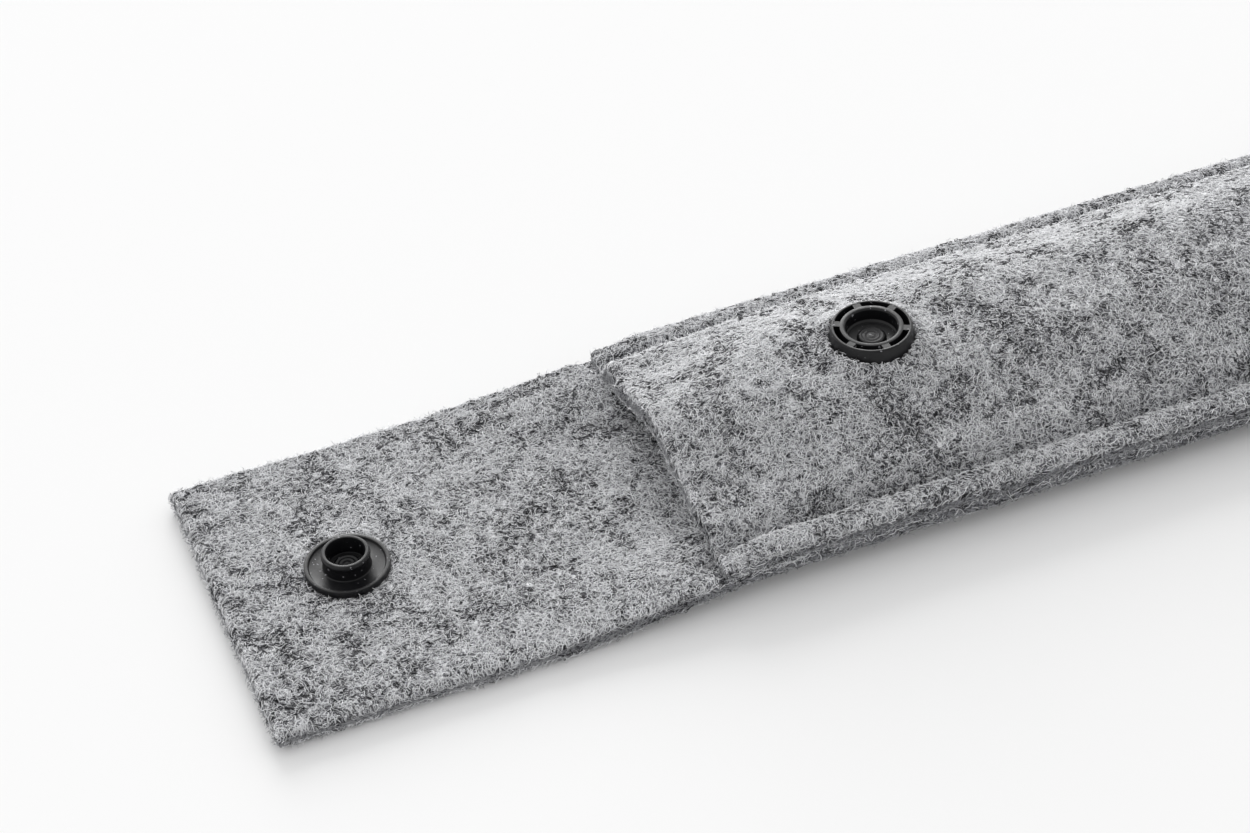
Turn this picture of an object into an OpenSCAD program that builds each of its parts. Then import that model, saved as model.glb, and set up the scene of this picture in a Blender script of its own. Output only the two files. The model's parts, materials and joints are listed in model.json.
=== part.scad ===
// Felt pen case: two felt panels sewn together on three sides, with a flap that
// folds over the mouth and closes on a plastic press stud.
// The case lies open on its back. +X runs from the flap's free edge to the closed
// end, +Z is up, and the origin is under the middle of the case, on the table.

/* [Felt] */
// Thickness of the felt sheet
felt_t = 2.8; // [2.4:0.1:3.5]
// Width of the felt strip
felt_w = 47.5; // [42:0.5:60]
// Depth of the pocket, from the fold line at its mouth to its closed end
pocket_l = 155; // [130:1:190]
// Length of the flap, from the fold line to its free edge
flap_l = 57.5; // [54:0.5:70]
// Radius on the cut edges of the felt
edge_r = 0.5; // [0.2:0.1:0.9]

/* [Pocket] */
// Clear height inside the pocket, under its crown
pocket_h = 9; // [7:0.1:12]
// How much lower the crown is at the mouth
lip_drop = 2.4; // [0:0.1:3]
// Half width over which the front panel runs level
crown_half = 3.5; // [3:0.1:6]
// Half width over which it runs level at the mouth
mouth_crown_half = 1; // [0.5:0.1:3]
// Roundness of the front panel's arch: 1 is a straight slope, 2 a parabola
arch_power = 1.6; // [1.2:0.1:2]
// Roundness of the arch at the mouth
mouth_power = 1.05; // [1:0.05:2]
// Height of the sewn edges above the table
edge_lift = 2.2; // [0:0.1:3]
// How far each sewn edge is drawn in by the bulge
draw_in = 0.7; // [0:0.1:1.5]
// Half width of the flat under the back panel
rest_half = 9; // [6:0.5:12]
// Length over which the sewn edges rise from the mouth
mouth_run = 8; // [6:1:20]
// Length over which the pocket closes towards its end
end_run = 46; // [30:1:60]
// Set-back of the front panel's mouth edge behind the fold line
lip_setback = 0.4; // [0.3:0.1:2]

/* [Seam] */
// Distance of the seam from the cut edge
seam_inset = 3.5; // [3:0.1:5]
// Thickness of each panel outside the seam, where the thread squeezes it
flange_t = 2.2; // [2.2:0.1:2.4]
// Thickness of each panel under the thread
groove_t = 1.5; // [1.2:0.1:1.6]
// Gap between the two panels along the seam
panel_gap = 0.05; // [0.05:0.05:0.2]
// Length of one stitch, hole to hole
stitch_pitch = 3; // [2.5:0.1:4]
// Diameter of the sewing thread
thread_d = 0.6; // [0.4:0.1:0.8]
// Bare length between two stitches, where the thread dives into the felt
stitch_gap = 0.5; // [0.3:0.1:0.8]

/* [Press stud] */
// Distance of the socket's axis from the fold line
socket_inset = 30.4; // [26:0.2:36]
// Diameter of each round cap
cap_d = 12.4; // [11:0.1:12.8]
// Thickness of each cap in its middle
cap_t = 1.4; // [1:0.1:1.6]
// Thickness of each cap at its rim
cap_rim_t = 0.8; // [0.6:0.1:1]
// Diameter of the stud's flange
stud_d = 10.8; // [10:0.1:11.5]
// Thickness of the stud's flange at its rim
stud_rim_t = 1.1; // [0.9:0.1:1.4]
// Width of the raised rim on the stud's flange
stud_rim_w = 0.5; // [0.3:0.1:0.8]
// Depth of the dished web inside that rim
stud_dish = 0.3; // [0.1:0.05:0.4]
// Outer diameter of the stud's hollow post
stud_post_d = 6.2; // [5.8:0.1:6.4]
// Wall of the stud's hollow post
stud_wall = 0.6; // [0.4:0.1:0.8]
// Height of the stud's post above its rim
stud_post_h = 2; // [1.6:0.1:2.2]
// Lead-in chamfer on the post and in the socket's bore
lead_in = 0.2; // [0.1:0.05:0.25]
// Diameter of the socket where it sits on the felt
socket_d = 11.2; // [10.8:0.1:11.6]
// How much smaller its top is, in diameter
socket_taper = 0.8; // [0.2:0.1:1]
// Height of the socket above the felt
socket_h = 2.1; // [2:0.1:2.6]
// Depth to which the socket is pressed into the felt
socket_sunk = 0.5; // [0.3:0.1:0.6]
// Radial play of the stud's post in the socket
snap_play = 0.25; // [0.1:0.05:0.3]
// Wall of the socket's inner ring, which springs open for the stud
socket_ring_w = 0.75; // [0.5:0.05:0.8]
// Wall of the socket's outer ring at its top
socket_wall = 0.5; // [0.4:0.05:0.6]
// Number of ribs that join the socket's two rings
socket_ribs = 6; // [4:1:8]
// Width of each rib
socket_rib_w = 1; // [0.6:0.1:1.2]
// How far the ribs stay below the top of the rings
rib_drop = 0.1; // [0.05:0.05:0.3]
// Thickness of the floors of stud and socket
floor_t = 0.6; // [0.5:0.1:0.8]
// Diameter of the pin on each cap
pin_d = 2.6; // [2.2:0.1:3]
// Diameter of the pin's flattened head
rivet_d = 3.8; // [3.4:0.1:4.2]
// Height of the pin's flattened head
rivet_h = 0.5; // [0.4:0.1:0.6]
// Play of the pin in the felt and in the floors, all round
pin_play = 0.1; // [0.05:0.01:0.2]

/* [Fold] */
// Lean of the two short fold strips when the flap is closed, in degrees
fold_lean = 14; // [10:0.5:20]
// Clearance of the closed flap above the front panel's mouth edge
lip_clear = 0.45; // [0.3:0.05:1]
// Length of flat felt between the stud's axis and the last fold
tip_flat = 7; // [6.5:0.1:9]
// Gap between the stud's rim and the socket when closed
snap_gap = 0.05; // [0.05:0.01:0.2]

/* [Hidden] */
$fn = 64;
// Overshoot of cutting tools past the face they cut
cut = 1;
felt_colour = [0.55, 0.55, 0.57];
thread_colour = [0.62, 0.62, 0.64];
snap_colour = [0.07, 0.07, 0.08];

// Places along X. u is measured from the fold line into the pocket.
fold_x = flap_l - (flap_l + pocket_l) / 2;
flap_end_x = fold_x - flap_l;
seam_u = pocket_l - seam_inset;

// Level of the front panel's outer face along its crown, and at its mouth edge.
crown_z = felt_t + pocket_h + felt_t;
lip_z = crown_z - lip_drop;

// The closed flap: it climbs past the mouth on two short strips, slopes over the
// front panel, and lies level where the stud meets the socket.
climb = lip_z - felt_t + lip_clear;
strip_l = climb / (2 * cos(fold_lean));
seat_rise = lip_drop + socket_h + stud_rim_t + snap_gap - lip_clear;
cover_dx = socket_inset - tip_flat;
cover_l = norm([cover_dx, seat_rise]);
cover_slope = atan2(seat_rise, cover_dx);
tip_fold_x = fold_x - 2 * strip_l - cover_l;
stud_x = tip_fold_x - tip_flat;
socket_x = fold_x + socket_inset;

// Turn of each fold from open to closed, in degrees.
fold_turns = [
    90 - fold_lean,
    2 * fold_lean,
    90 - fold_lean - cover_slope,
    cover_slope,
];

// The socket and the stud share the post's size.
post_r = stud_post_d / 2;
socket_bore_r = post_r + snap_play;
pin_hole_r = pin_d / 2 + pin_play;
cap_seat_r = cap_d / 2 + pin_play;

// The crown has reached its full height before the felt that holds the socket.
crown_margin = 1;
crown_run = socket_inset - cap_seat_r - crown_margin;

function clamp01(s) = max(0, min(1, s));
function smooth(s) = let (c = clamp01(s)) c * c * (3 - 2 * c);
function mix(a, b, s) = a + (b - a) * s;

// How far the pocket has opened at u: 0 at the mouth and at the closed end.
function spread(u) = smooth(u / mouth_run) * smooth((pocket_l - u) / end_run);
function half_w(u) = felt_w / 2 - draw_in * spread(u);
function seam_y(u) = half_w(u) - seam_inset;

// Outer face of the back panel, level in the middle and raised at the edges.
function back_low(u, y) =
    edge_lift * spread(u) * smooth((abs(y) - rest_half) / (seam_y(u) - rest_half));

// Distance inside the seam, negative on the flange outside it.
function inside(u, y) = min(seam_y(u) - abs(y), seam_u - u);

// Thickness of a panel: thin under the thread, squeezed outside it, full inside.
groove_half = 0.8;
pillow_run = 3;
function panel_t(u, y) = let (d = inside(u, y))
    d < 0 ? mix(groove_t, flange_t, smooth(-d / groove_half))
          : mix(groove_t, felt_t, smooth(d / pillow_run));
function back_high(u, y) =
    back_low(u, y) + mix(flange_t, felt_t, smooth(inside(u, y) / pillow_run));
// Under the thread the back panel's outer face is drawn up.
function back_outer(u, y) =
    back_low(u, y) + max(0, mix(flange_t - groove_t, 0, smooth(abs(inside(u, y)) / groove_half)));

// Arch of the front panel over the pocket: level crown, falling to the seam.
function arch_y(u, y) = let (
        open = smooth(u / crown_run),
        level = mix(mouth_crown_half, crown_half, open),
        s = clamp01((abs(y) - level) / (seam_y(u) - level)))
    1 - s ^ mix(mouth_power, arch_power, open);
function arch_u(u) =
    let (s = clamp01((u - (pocket_l - end_run)) / (end_run - seam_inset))) 1 - s * s;
function front_low(u, y) = let (
        seat = back_high(u, y) + panel_gap,
        crown = felt_t + pocket_h - lip_drop * (1 - smooth(u / crown_run)),
        rise = arch_y(u, y) * arch_u(u))
    mix(seat, max(seat, crown), rise);

// Slope of the front panel, so that its thickness is measured across the felt.
probe = 0.2;
// Steepest slope for which the thickness is corrected
grade_max = 1.3;
function front_grade(u, y) = norm([
    (front_low(u, y + probe) - front_low(u, y - probe)) / (2 * probe),
    (front_low(min(u + probe, seam_u), y) - front_low(u - probe, y)) / (2 * probe)]);
function front_high(u, y) = let (g = min(front_grade(u, y), grade_max))
    front_low(u, y) + panel_t(u, y) * (inside(u, y) > 0
        ? mix(1, sqrt(1 + g * g), smooth(inside(u, y) / pillow_run)) : 1);

// Rows of a panel's grid: 0 is the middle, 1 the seam, 2 the cut edge.
function row_y(u, v) = sign(v) * (abs(v) <= 1
    ? abs(v) * seam_y(u)
    : seam_y(u) + (abs(v) - 1) * seam_inset);
function mirrored(list) =
    concat([for (i = [len(list) - 1:-1:1]) -list[i]], list);
arch_rows = 9;
crown_row = crown_half / (felt_w / 2 - seam_inset);
front_rows = mirrored(concat(
    [0], [for (i = [0:arch_rows]) mix(crown_row, 1, sin(90 * i / arch_rows))],
    [1 + groove_half / seam_inset, 2 - edge_r / seam_inset, 2]));
rest_rows = 5;
rest_row = rest_half / (felt_w / 2 - seam_inset);
groove_row = 1 - groove_half / (felt_w / 2 - seam_inset);
back_rows = mirrored(concat(
    [0], [for (i = [0:rest_rows]) mix(rest_row, groove_row, i / rest_rows)],
    [1, 1 + groove_half / seam_inset, 2 - edge_r / seam_inset, 2]));

// Columns of the grid along u, closer together where the panels bend: up to where
// the crown is level, and over the run in which the pocket closes.
mouth_cols = 6;
end_cols = 9;
function columns(start) = concat(
    [start, start + edge_r],
    [for (i = [1:mouth_cols]) mix(start + edge_r, crown_run, i / mouth_cols)],
    [for (i = [0:end_cols]) mix(pocket_l - end_run, seam_u, sin(90 * i / end_cols))],
    [seam_u + groove_half, pocket_l - edge_r, pocket_l]);

// A sheet of felt between two faces, given on a grid of columns and rows.
// Its cut edges are rounded by a chamfer row.
edge_drop = 0.8 * edge_r;
module felt_sheet(us, vs, low, high) {
    nu = len(us);
    nv = len(vs);
    last_u = us[nu - 1];
    function trim(i, j) = (i == 0 || i == nu - 1 || j == 0 || j == nv - 1) ? edge_drop : 0;
    function point(i, j, face) = let (u = us[i], y = row_y(u, vs[j]))
        [fold_x + u, y, face == 0 ? low(u, y) + trim(i, j) : high(u, y) - trim(i, j)];
    points = [for (face = [0:1]) for (i = [0:nu - 1]) for (j = [0:nv - 1]) point(i, j, face)];
    function at(face, i, j) = (face * nu + i) * nv + j;
    function quad(a, b, c, d) = [[a, b, c], [a, c, d]];
    faces = concat(
        [for (i = [0:nu - 2]) for (j = [0:nv - 2]) each
            quad(at(1, i, j), at(1, i, j + 1), at(1, i + 1, j + 1), at(1, i + 1, j))],
        [for (i = [0:nu - 2]) for (j = [0:nv - 2]) each
            quad(at(0, i, j), at(0, i + 1, j), at(0, i + 1, j + 1), at(0, i, j + 1))],
        [for (j = [0:nv - 2]) each
            quad(at(0, 0, j), at(0, 0, j + 1), at(1, 0, j + 1), at(1, 0, j))],
        [for (j = [0:nv - 2]) each
            quad(at(0, nu - 1, j), at(1, nu - 1, j), at(1, nu - 1, j + 1), at(0, nu - 1, j + 1))],
        [for (i = [0:nu - 2]) each
            quad(at(0, i, 0), at(1, i, 0), at(1, i + 1, 0), at(0, i + 1, 0))],
        [for (i = [0:nu - 2]) each
            quad(at(0, i, nv - 1), at(0, i + 1, nv - 1), at(1, i + 1, nv - 1), at(1, i, nv - 1))]);
    polyhedron(points = points, faces = faces, convexity = 6);
}

module back_panel() {
    color(felt_colour)
        felt_sheet(columns(0), back_rows,
            function (u, y) back_outer(u, y), function (u, y) back_high(u, y));
}

module front_panel() {
    inner_z = crown_z - felt_t;
    color(felt_colour)
        difference() {
            felt_sheet(columns(lip_setback), front_rows,
                function (u, y) front_low(u, y), function (u, y) front_high(u, y));
            // Hole for the pin, and the seats into which cap and socket are pressed
            translate([socket_x, 0, inner_z - cut])
                cylinder(h = felt_t + 2 * cut, r = pin_hole_r);
            translate([socket_x, 0, inner_z - cut])
                cylinder(h = cap_t + cut, r = cap_seat_r);
            translate([socket_x, 0, crown_z - socket_sunk])
                cylinder(h = socket_sunk + cut, r = socket_d / 2 + pin_play);
        }
}

// A straight stretch of the felt strip on the table, from x0 to x1.
module felt_strip(x0, x1) {
    translate([x0, 0, 0])
        rotate([90, 0, 90])
            linear_extrude(height = x1 - x0) {
                translate([-felt_w / 2 + edge_r, 0])
                    square([felt_w - 2 * edge_r, felt_t]);
                translate([-felt_w / 2, edge_r])
                    square([felt_w, felt_t - 2 * edge_r]);
                for (y = [-1, 1], z = [edge_r, felt_t - edge_r])
                    translate([y * (felt_w / 2 - edge_r), z])
                        circle(r = edge_r);
            }
}

module fold_strip_lower() {
    color(felt_colour)
        felt_strip(fold_x - strip_l, fold_x);
}

module fold_strip_upper() {
    color(felt_colour)
        felt_strip(fold_x - 2 * strip_l, fold_x - strip_l);
}

module flap_cover() {
    color(felt_colour)
        felt_strip(tip_fold_x, fold_x - 2 * strip_l);
}

module flap_tip() {
    color(felt_colour)
        difference() {
            felt_strip(flap_end_x, tip_fold_x);
            translate([stud_x, 0, -cut])
                cylinder(h = felt_t + 2 * cut, r = pin_hole_r);
            translate([stud_x, 0, -cut])
                cylinder(h = cap_t + cut, r = cap_seat_r);
        }
}

// The seam runs down one side, across the closed end and back up the other side.
// Stitches start a little inside the mouth, and the last hole is the corner.
seam_start = 1.5;
side_stitches = floor((seam_u - seam_start) / stitch_pitch);
end_stitches = floor(2 * seam_y(seam_u) / stitch_pitch);
function side_hole(i, side) =
    let (u = seam_u - i * stitch_pitch) [u, side * seam_y(u)];
function end_hole(i) =
    [seam_u, mix(-seam_y(seam_u), seam_y(seam_u), i / end_stitches)];
seam_stitches = concat(
    [for (side = [-1, 1], i = [0:side_stitches - 1]) [side_hole(i + 1, side), side_hole(i, side)]],
    [for (i = [0:end_stitches - 1]) [end_hole(i), end_hole(i + 1)]]);

// One bar of thread from a to b, both [x, y, z], short of each by half the gap.
module thread_bar(a, b) {
    run = b - a;
    length = norm(run) - stitch_gap;
    translate(a + run * (stitch_gap / 2) / norm(run))
        rotate([0, acos(run.z / norm(run)), atan2(run.y, run.x)])
            cylinder(h = length, d = thread_d, $fn = 24);
}

module thread(level) {
    for (stitch = seam_stitches) {
        ends = [for (hole = stitch) [fold_x + hole.x, hole.y, level(hole.x, hole.y)]];
        thread_bar(ends[0], ends[1]);
    }
}

// Clearance of the thread over the groove's floor
thread_clear = 0.05;

module needle_thread() {
    color(thread_colour)
        thread(function (u, y) front_low(u, y) + groove_t + thread_d / 2 + thread_clear);
}

module bobbin_thread() {
    color(thread_colour)
        thread(function (u, y) back_outer(u, y) - thread_d / 2 - thread_clear);
}

// Cap with its pin, drawn with the pin up: a shallow dome below, and a head on the
// pin where it was flattened over a floor at the given height.
module cap_with_pin(floor_z) {
    rim_z = cap_t - cap_rim_t;
    dome_r = ((cap_d / 2) ^ 2 + rim_z ^ 2) / (2 * rim_z);
    color(snap_colour)
        rotate_extrude() {
            intersection() {
                translate([0, dome_r])
                    circle(r = dome_r, $fn = 180);
                square([cap_d / 2, rim_z]);
            }
            translate([0, rim_z])
                square([cap_d / 2, cap_rim_t]);
            translate([0, cap_t])
                square([pin_d / 2, floor_z - cap_t]);
            translate([0, floor_z])
                square([rivet_d / 2, rivet_h]);
        }
}

module stud_cap() {
    translate([stud_x, 0, 0])
        cap_with_pin(felt_t + floor_t);
}

module socket_cap() {
    translate([socket_x, 0, crown_z - felt_t])
        cap_with_pin(felt_t - socket_sunk + floor_t);
}

// Flange with a raised rim, and a hollow post with a chamfered mouth.
module snap_stud() {
    web_t = stud_rim_t - stud_dish;
    rim_r = stud_d / 2;
    bore_r = post_r - stud_wall;
    top = stud_rim_t + stud_post_h;
    translate([stud_x, 0, felt_t])
        color(snap_colour)
            rotate_extrude()
                polygon([
                    [pin_hole_r, 0], [rim_r, 0], [rim_r, stud_rim_t],
                    [rim_r - stud_rim_w, stud_rim_t], [rim_r - stud_rim_w, web_t],
                    [post_r, web_t], [post_r, top - lead_in], [post_r - lead_in, top],
                    [bore_r, top], [bore_r, floor_t], [pin_hole_r, floor_t],
                ]);
}

// Two rings on one floor, joined by ribs: the stud's post goes into the inner one.
module snap_socket() {
    height = socket_h + socket_sunk;
    base_r = socket_d / 2;
    top_r = base_r - socket_taper / 2;
    slot_out_r = top_r - socket_wall;
    slot_in_r = socket_bore_r + socket_ring_w;
    // How far each rib reaches into the two rings
    rib_root = socket_ring_w / 4;
    translate([socket_x, 0, crown_z - socket_sunk])
        color(snap_colour) {
            rotate_extrude()
                polygon([
                    [pin_hole_r, 0], [base_r, 0], [base_r, socket_sunk],
                    [top_r, height], [slot_out_r, height],
                    [slot_out_r, floor_t], [slot_in_r, floor_t],
                    [slot_in_r, height], [socket_bore_r + lead_in, height],
                    [socket_bore_r, height - lead_in], [socket_bore_r, floor_t],
                    [pin_hole_r, floor_t],
                ]);
            for (i = [0:socket_ribs - 1])
                rotate([0, 0, 360 * (i + 0.5) / socket_ribs])
                    translate([slot_in_r - rib_root, -socket_rib_w / 2, floor_t / 2])
                        cube([slot_out_r - slot_in_r + 2 * rib_root,
                            socket_rib_w, height - floor_t / 2 - rib_drop]);
        }
}

back_panel();
front_panel();
needle_thread();
bobbin_thread();
socket_cap();
snap_socket();
fold_strip_lower();
fold_strip_upper();
flap_cover();
flap_tip();
stud_cap();
snap_stud();
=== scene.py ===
"""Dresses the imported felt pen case: needled felt, its sewn seam and the press stud.

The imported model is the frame, so every piece is made where the construction puts
it. Sizes inside the classes are in millimetres and are turned into metres when a
mesh is written. x runs from the flap's free edge to the closed end, z is up.
"""

from __future__ import annotations

import json
import logging
import math
from collections.abc import Callable
from dataclasses import dataclass, field
from enum import Enum

import bmesh
import bpy
import numpy as np
from mathutils import Matrix, Vector

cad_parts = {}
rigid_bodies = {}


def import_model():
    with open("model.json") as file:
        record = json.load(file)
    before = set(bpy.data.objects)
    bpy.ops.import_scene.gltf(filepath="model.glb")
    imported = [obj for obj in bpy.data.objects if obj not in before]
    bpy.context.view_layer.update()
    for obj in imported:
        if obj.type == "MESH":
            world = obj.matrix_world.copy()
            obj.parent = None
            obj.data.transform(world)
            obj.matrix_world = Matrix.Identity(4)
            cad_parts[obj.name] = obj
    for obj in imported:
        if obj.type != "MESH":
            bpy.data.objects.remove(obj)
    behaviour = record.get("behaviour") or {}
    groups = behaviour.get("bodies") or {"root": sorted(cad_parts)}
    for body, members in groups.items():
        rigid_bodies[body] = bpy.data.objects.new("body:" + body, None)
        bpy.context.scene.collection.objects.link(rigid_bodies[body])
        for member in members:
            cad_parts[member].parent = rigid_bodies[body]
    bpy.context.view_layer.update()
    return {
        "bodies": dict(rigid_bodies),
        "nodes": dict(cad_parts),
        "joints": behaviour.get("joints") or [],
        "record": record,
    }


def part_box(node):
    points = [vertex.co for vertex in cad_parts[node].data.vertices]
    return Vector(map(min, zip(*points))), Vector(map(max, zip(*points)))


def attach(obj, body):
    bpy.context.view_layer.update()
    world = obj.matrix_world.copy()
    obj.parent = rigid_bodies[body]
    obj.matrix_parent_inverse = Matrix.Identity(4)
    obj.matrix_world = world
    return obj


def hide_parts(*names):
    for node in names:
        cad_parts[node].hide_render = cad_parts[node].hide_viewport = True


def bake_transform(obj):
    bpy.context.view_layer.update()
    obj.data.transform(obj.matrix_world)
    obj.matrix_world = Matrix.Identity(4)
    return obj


LOG = logging.getLogger("pen_case")
MM = 0.001
PATTERN_UV = "felt_mm"
TONE = "tone"
# Mask of a sheet's cut faces, which the felt material uses to paint shade on them.
CUT = "cut_face"
# Least heights over the table, in millimetres, of the fibres and of the sheets.
TABLE_GAP = 0.005
SHEET_GAP = 6 * TABLE_GAP

Array = np.ndarray
Level = Callable[[Array, Array], Array]


def clamp01(s: Array) -> Array:
    """Limits values to the range from 0 to 1."""
    return np.clip(s, 0.0, 1.0)


def smooth(s: Array) -> Array:
    """Eases from 0 to 1 with level ends."""
    c = clamp01(s)
    return c * c * (3 - 2 * c)


def mix(a: Array, b: Array, s: Array) -> Array:
    """Goes from a to b as s goes from 0 to 1."""
    return a + (b - a) * s


def unit(v: Array) -> Array:
    """Scales each row of vectors to length 1."""
    return v / np.maximum(np.linalg.norm(v, axis=-1, keepdims=True), 1e-9)


class SoftNoise:
    """Smooth random field on a repeating lattice, for lumps and uneven edges."""

    def __init__(self, seed: int, cells: int = 128) -> None:
        """Fills the lattice.

        Args:
            seed: Start of the random numbers.
            cells: Lattice points each way before the field repeats.
        """
        self.table = np.random.default_rng(seed).uniform(-1, 1, (cells, cells))

    def at(self, a: Array, b: Array, cell: float) -> Array:
        """Reads the field.

        Args:
            a: First coordinate, in millimetres.
            b: Second coordinate, in millimetres.
            cell: Distance between lattice points, in millimetres.

        Returns:
            Values from -1 to 1.
        """
        p, q = np.broadcast_arrays(a / cell, b / cell)
        i, j = np.floor(p).astype(int), np.floor(q).astype(int)
        f, g = smooth(p - i), smooth(q - j)
        n = len(self.table)

        def pick(di: int, dj: int) -> Array:
            """Takes a neighbouring lattice value."""
            return self.table[(i + di) % n, (j + dj) % n]

        return mix(mix(pick(0, 0), pick(1, 0), f), mix(pick(0, 1), pick(1, 1), f), g)


@dataclass
class CaseSizes:
    """Sizes of the case. The fields repeat the construction; the rest is read from the frame."""

    pocket_h: float = 9.0
    lip_drop: float = 2.4
    crown_half: float = 3.5
    mouth_crown_half: float = 1.0
    arch_power: float = 1.6
    mouth_power: float = 1.05
    edge_lift: float = 2.2
    draw_in: float = 0.7
    rest_half: float = 9.0
    end_run: float = 46.0
    seam_inset: float = 3.5
    flange_t: float = 2.2
    groove_t: float = 1.5
    panel_gap: float = 0.05
    groove_half: float = 0.8
    pillow_run: float = 3.0
    seam_start: float = 1.5
    stitch_pitch: float = 3.0
    thread_d: float = 0.6
    cap_d: float = 12.4
    cap_t: float = 1.4
    pin_play: float = 0.1
    crown_margin: float = 1.0
    groove_deep: float = 0.55
    groove_sharp: float = 0.42
    flange_swell: float = 0.4
    corner_press: float = 0.7
    corner_lead: float = 1.0
    corner_run: float = 9.0
    pit_deep: float = 0.24
    pit_r: float = 0.45
    steepest: float = 1.3
    seat_play: float = 0.04
    cap_ring_in: float = 0.1
    cap_ring_run: float = 0.5
    nap: float = 0.1
    lift_lead: float = 24.0
    lift_run: float = 30.0
    fold_x: float = field(init=False)
    upper_x: float = field(init=False)
    cover_x: float = field(init=False)
    tip_x: float = field(init=False)
    flap_end_x: float = field(init=False)
    end_x: float = field(init=False)
    lip_x: float = field(init=False)
    stud_x: float = field(init=False)
    socket_x: float = field(init=False)
    felt_t: float = field(init=False)
    felt_w: float = field(init=False)
    pocket_l: float = field(init=False)
    seam_u: float = field(init=False)
    socket_u: float = field(init=False)
    crown_z: float = field(init=False)
    crown_run: float = field(init=False)
    cap_seat_r: float = field(init=False)

    def read_frame(self, frame: dict) -> None:
        """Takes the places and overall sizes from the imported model.
        """
        hinges = {joint["name"]: joint["pos_m"][0] / MM for joint in frame["joints"]}
        self.fold_x = hinges["flap_fold"]
        self.upper_x = hinges["upper_fold"]
        self.cover_x = hinges["cover_fold"]
        self.tip_x = hinges["tip_fold"]
        low, high = (Vector(corner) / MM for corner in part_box("flap_cover"))
        self.felt_t = high.z
        self.felt_w = high.y - low.y
        self.flap_end_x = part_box("flap_tip")[0].x / MM
        self.end_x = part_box("back_panel")[1].x / MM
        self.lip_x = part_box("front_panel")[0].x / MM
        self.pocket_l = self.end_x - self.fold_x
        self.seam_u = self.pocket_l - self.seam_inset
        self.stud_x = self.middle("snap_stud")
        self.socket_x = self.middle("snap_socket")
        self.crown_z = 2 * self.felt_t + self.pocket_h
        self.cap_seat_r = self.cap_d / 2 + self.pin_play
        self.socket_u = self.socket_x - self.fold_x
        self.crown_run = self.socket_u - self.cap_seat_r - self.crown_margin

    @staticmethod
    def middle(node: str) -> float:
        """Middle of a node along x, in millimetres."""
        low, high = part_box(node)
        return (low.x + high.x) / 2 / MM

    def spread(self, u: Array) -> Array:
        """How far the pocket has opened at u: it starts in the flap, before the mouth."""
        return smooth((u + self.lift_lead) / self.lift_run) * smooth((self.pocket_l - u) / self.end_run)

    def half_w(self, u: Array) -> Array:
        """Half width of the case at u."""
        return self.felt_w / 2 - self.draw_in * self.spread(u)

    def seam_y(self, u: Array) -> Array:
        """Distance of the seam from the middle line."""
        return self.half_w(u) - self.seam_inset

    def inside(self, u: Array, y: Array) -> Array:
        """Distance inside the seam, negative on the flange."""
        return np.minimum(self.seam_y(u) - np.abs(y), self.seam_u - u)

    def sewn(self, u: Array) -> Array:
        """0 on the flap and 1 in the pocket, with a short change at the mouth."""
        return smooth((u + self.pillow_run) / self.pillow_run)

    def back_low(self, u: Array, y: Array) -> Array:
        """Outer face of the back strip, level in the middle and raised at its edges."""
        rise = smooth((np.abs(y) - self.rest_half) / (self.seam_y(u) - self.rest_half))
        return self.edge_lift * self.spread(u) * rise

    def back_high(self, u: Array, y: Array) -> Array:
        """Inner face of the back strip."""
        pillow = mix(self.flange_t, self.felt_t, smooth(self.inside(u, y) / self.pillow_run))
        return self.back_low(u, y) + mix(self.felt_t, pillow, self.sewn(u))

    def groove(self, u: Array, y: Array) -> Array:
        """Depth of the groove that the thread pulls into the felt.

        Args:
            u: Place along the case, from the fold line.
            y: Place across it.

        Returns:
            Depths, in millimetres.
        """
        deep = self.flange_t - self.groove_t
        start = smooth(u / self.seam_start)
        return deep * start * (1 - smooth(np.abs(self.inside(u, y)) / self.groove_half))

    def dimples(self, u: Array, y: Array) -> Array:
        """Small pits where the thread dives into the felt, one at each stitch hole.

        Args:
            u: Place along the case, from the fold line.
            y: Place across it.

        Returns:
            Depths, in millimetres.
        """
        pitch = self.stitch_pitch
        phase = np.mod(self.seam_u - u, pitch)
        side = np.hypot(np.minimum(phase, pitch - phase), np.abs(y) - self.seam_y(u))
        phase = np.mod(y + self.seam_y(self.seam_u), pitch)
        end = np.hypot(np.minimum(phase, pitch - phase), u - self.seam_u)
        near = np.minimum(side, end) / self.pit_r
        return self.pit_deep * np.exp(-near * near) * smooth(u / self.seam_start)

    def back_outer(self, u: Array, y: Array) -> Array:
        """Outer face of the back strip with its groove and pits, clear of the table by its own fibres."""
        return self.back_low(u, y) + self.groove(u, y) + self.dimples(u, y) + self.nap

    def panel_t(self, u: Array, y: Array) -> Array:
        """Thickness of the front panel: thin under the thread, full inside.

        Args:
            u: Place along the case, from the fold line.
            y: Place across it.

        Returns:
            Thicknesses, in millimetres.
        """
        d = self.inside(u, y)
        outside = mix(self.groove_t, self.flange_t, smooth(-d / self.groove_half))
        within = mix(self.groove_t, self.felt_t, smooth(d / self.pillow_run))
        return np.where(d < 0, outside, within)

    def arch(self, u: Array, y: Array) -> Array:
        """How far the front panel stands open: 1 at the crown, 0 at the seam.

        Args:
            u: Place along the case, from the fold line.
            y: Place across it.

        Returns:
            Shares from 0 to 1.
        """
        opened = smooth(u / self.crown_run)
        level = mix(self.mouth_crown_half, self.crown_half, opened)
        s = clamp01((np.abs(y) - level) / (self.seam_y(u) - level))
        along = clamp01((u - (self.pocket_l - self.end_run)) / (self.end_run - self.seam_inset))
        power = mix(self.mouth_power, self.arch_power, opened)
        return (1 - s**power) * (1 - along * along)

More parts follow.
